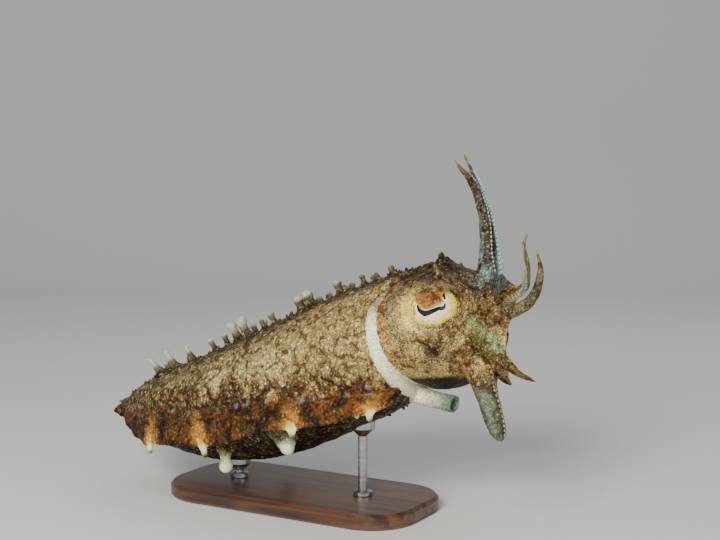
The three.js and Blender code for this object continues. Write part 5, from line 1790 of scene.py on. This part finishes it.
# %% Wood, steel and horn
def wood_material():
    material, tree, shader = new_material("dark_satin_wood")
    stretched = {"Vector": object_place(tree), "Scale": (9.0, 120.0, 120.0)}
    stretched = add(tree, "ShaderNodeMapping", stretched).outputs["Vector"]
    rings = noise(tree, stretched, 1.0, 6.0, Distortion=0.9)["Fac"]
    pores = noise(tree, stretched, 9.0, 2.0)["Fac"]
    base = blend(tree, ramp(tree, rings, 0.35, 0.65), colour(46, 27, 17), colour(92, 57, 34))
    base = blend(tree, ramp(tree, pores, 0.62, 0.72), base, colour(26, 15, 10))
    set_inputs(tree, shader, Base_Color=base, Normal=bump(tree, pores, 0.15, 0.0005))
    set_inputs(tree, shader, Roughness=0.38, Coat_Weight=0.25, Coat_Roughness=0.25)
    return material


def steel_material():
    material, tree, shader = new_material("brushed_steel")
    bands = {"Vector": object_place(tree), "Scale": (60.0, 60.0, 2600.0)}
    bands = add(tree, "ShaderNodeMapping", bands).outputs["Vector"]
    tint = ramp(tree, noise(tree, bands, 1.0, 3.0)["Fac"], 0.3, 0.7)
    base = blend(tree, tint, colour(150, 150, 152), colour(196, 196, 198))
    set_inputs(tree, shader, Base_Color=base, Roughness=span(tree, tint, 0.26, 0.4), Metallic=1.0)
    return material


def horn_material():
    material, tree, shader = new_material("dark_horn")
    tint = ramp(tree, noise(tree, object_place(tree), 300.0, 4.0)["Fac"], 0.3, 0.7)
    base = blend(tree, tint, colour(24, 16, 12), colour(58, 38, 26))
    set_inputs(tree, shader, Base_Color=base, Roughness=0.3)
    return material


def finish_node(name, material):
    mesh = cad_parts[name].data
    mesh.materials.clear()
    mesh.materials.append(material)


brushed_steel = steel_material()
finish_node("stand_base", wood_material())
finish_node("stand_rod_rear", brushed_steel)
finish_node("stand_rod_front", brushed_steel)
finish_node("beak", horn_material())

# %% [markdown]
# ## Tying the pieces to the model
# Every piece rides on the model's one body. The two skins take the place of the
# nodes of flesh, and the eyeballs that of the two eye nodes.

# %% What rides, what it replaces and its finish
flesh = [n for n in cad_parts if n.startswith(("head", "arm_", "funnel", "mouth"))]
for piece, nodes, finish in (
    (skin_mantle, [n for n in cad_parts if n.startswith(("mantle", "fin_"))], "skin_mantle"),
    (skin_head, flesh, "skin_head"),
    (eye_pieces[-1], ["eye_right"], "eye"),
    (eye_pieces[1], ["eye_left"], "eye"),
    (suckers, [], "skin_arm"),
    (small_papillae, [], "skin_mantle"),
):
    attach(piece, "root")
    if nodes:
        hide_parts(*nodes)

# %% [markdown]
# ## Camera
# The photo looks slightly down at the animal's right side from ahead of it. The
# camera stands 800 mm away at that angle, with a lens whose field gives the photo's
# frame, and the neck lands at the same spot in the picture.

# %% The camera
PHOTO_WIDTH, PHOTO_HEIGHT, FOCAL_PIXELS = 720, 540, 1280.0
AZIMUTH, ELEVATION, NECK_PIXEL, NECK_DISTANCE = math.radians(30), math.radians(5), (385.0, 335.0), 800.0
right = np.array([math.cos(AZIMUTH), math.sin(AZIMUTH), 0])
ahead = np.array([-math.sin(AZIMUTH), math.cos(AZIMUTH), 0])
forward = ahead * math.cos(ELEVATION) - np.array([0, 0, math.sin(ELEVATION)])
upwards = np.cross(right, forward)
across = (NECK_PIXEL[0] - PHOTO_WIDTH / 2) * NECK_DISTANCE / FOCAL_PIXELS
down = (NECK_PIXEL[1] - PHOTO_HEIGHT / 2) * NECK_DISTANCE / FOCAL_PIXELS
eye_point = -(across * right - down * upwards + NECK_DISTANCE * forward)
camera_data = bpy.data.cameras.new("camera")
SENSOR_WIDTH = 36.0
camera_data.sensor_width, camera_data.lens = SENSOR_WIDTH, SENSOR_WIDTH * FOCAL_PIXELS / PHOTO_WIDTH
camera_data.clip_start, camera_data.clip_end = 0.01, 20.0
camera = placed("camera", camera_data)
camera.location = Vector((eye_point + ANIMAL_AT) * MM)
camera.rotation_euler = Matrix(np.stack([right, upwards, -forward], 1).tolist()).to_euler()
bpy.context.scene.camera = camera
print("camera at", [round(v, 3) for v in camera.location])

# %% [markdown]
# ## Floor and lights
# A plain pale floor that turns up far behind gives an even background. One large
# soft light stands for the photo's lamp, above the camera and a little to its left, with
# a weak fill from the right, a weak light from above and behind, and a faint glow from
# the world.


# %% Stage
def floor_piece():
    depth, height, bend, half = 2.2, 2.6, 0.9, 4.0
    outline = [(-3.0, 0.0), (depth - bend, 0.0)]
    for turn in np.linspace(0.05, math.pi / 2, 24):
        outline.append((depth - bend + bend * math.sin(turn), bend - bend * math.cos(turn)))
    outline.append((depth, height))
    points = []
    for along, up in outline:
        for sideways in (-half, half):
            points.append(ahead * along + right * sideways + np.array([0, 0, up]))
    faces = [(2 * i, 2 * i + 1, 2 * i + 3, 2 * i + 2) for i in range(len(outline) - 1)]
    mesh = bpy.data.meshes.new("floor")
    mesh.from_pydata([tuple(point) for point in points], [], faces)
    mesh.shade_smooth()
    material, tree, shader = new_material("pale_floor")
    set_inputs(tree, shader, Base_Color=colour(214, 215, 212), Roughness=0.9)
    mesh.materials.append(material)
    placed("floor", mesh)


def soft_light(name, place, size, power, tint):
    data = bpy.data.lights.new(name, "AREA")
    data.shape, data.size, data.energy, data.color = "DISK", size, power, tint
    lamp = placed(name, data)
    lamp.location = Vector(place)
    to_model = Vector((0.0, 0.0, 0.12)) - Vector(place)
    lamp.rotation_euler = to_model.to_track_quat("-Z", "Y").to_euler()


floor_piece()
toward = -forward
soft_light("key", 1.25 * toward - 0.4 * right + np.array([0, 0, 0.62]), 0.6, 31.0, (1.0, 0.96, 0.88))
soft_light("fill", 1.2 * toward + 1.1 * right + np.array([0, 0, 0.35]), 0.9, 6.0, (0.94, 0.97, 1.0))
soft_light("rim", -0.9 * toward + 0.4 * right + np.array([0, 0, 1.3]), 0.8, 3.0, (1.0, 0.98, 0.94))
world = bpy.data.worlds.new("soft_room")
world.use_nodes = True
glow = world.node_tree.nodes["Background"].inputs
glow["Color"].default_value, glow["Strength"].default_value = (0.9, 0.93, 1.0, 1.0), 0.4
bpy.context.scene.world = world
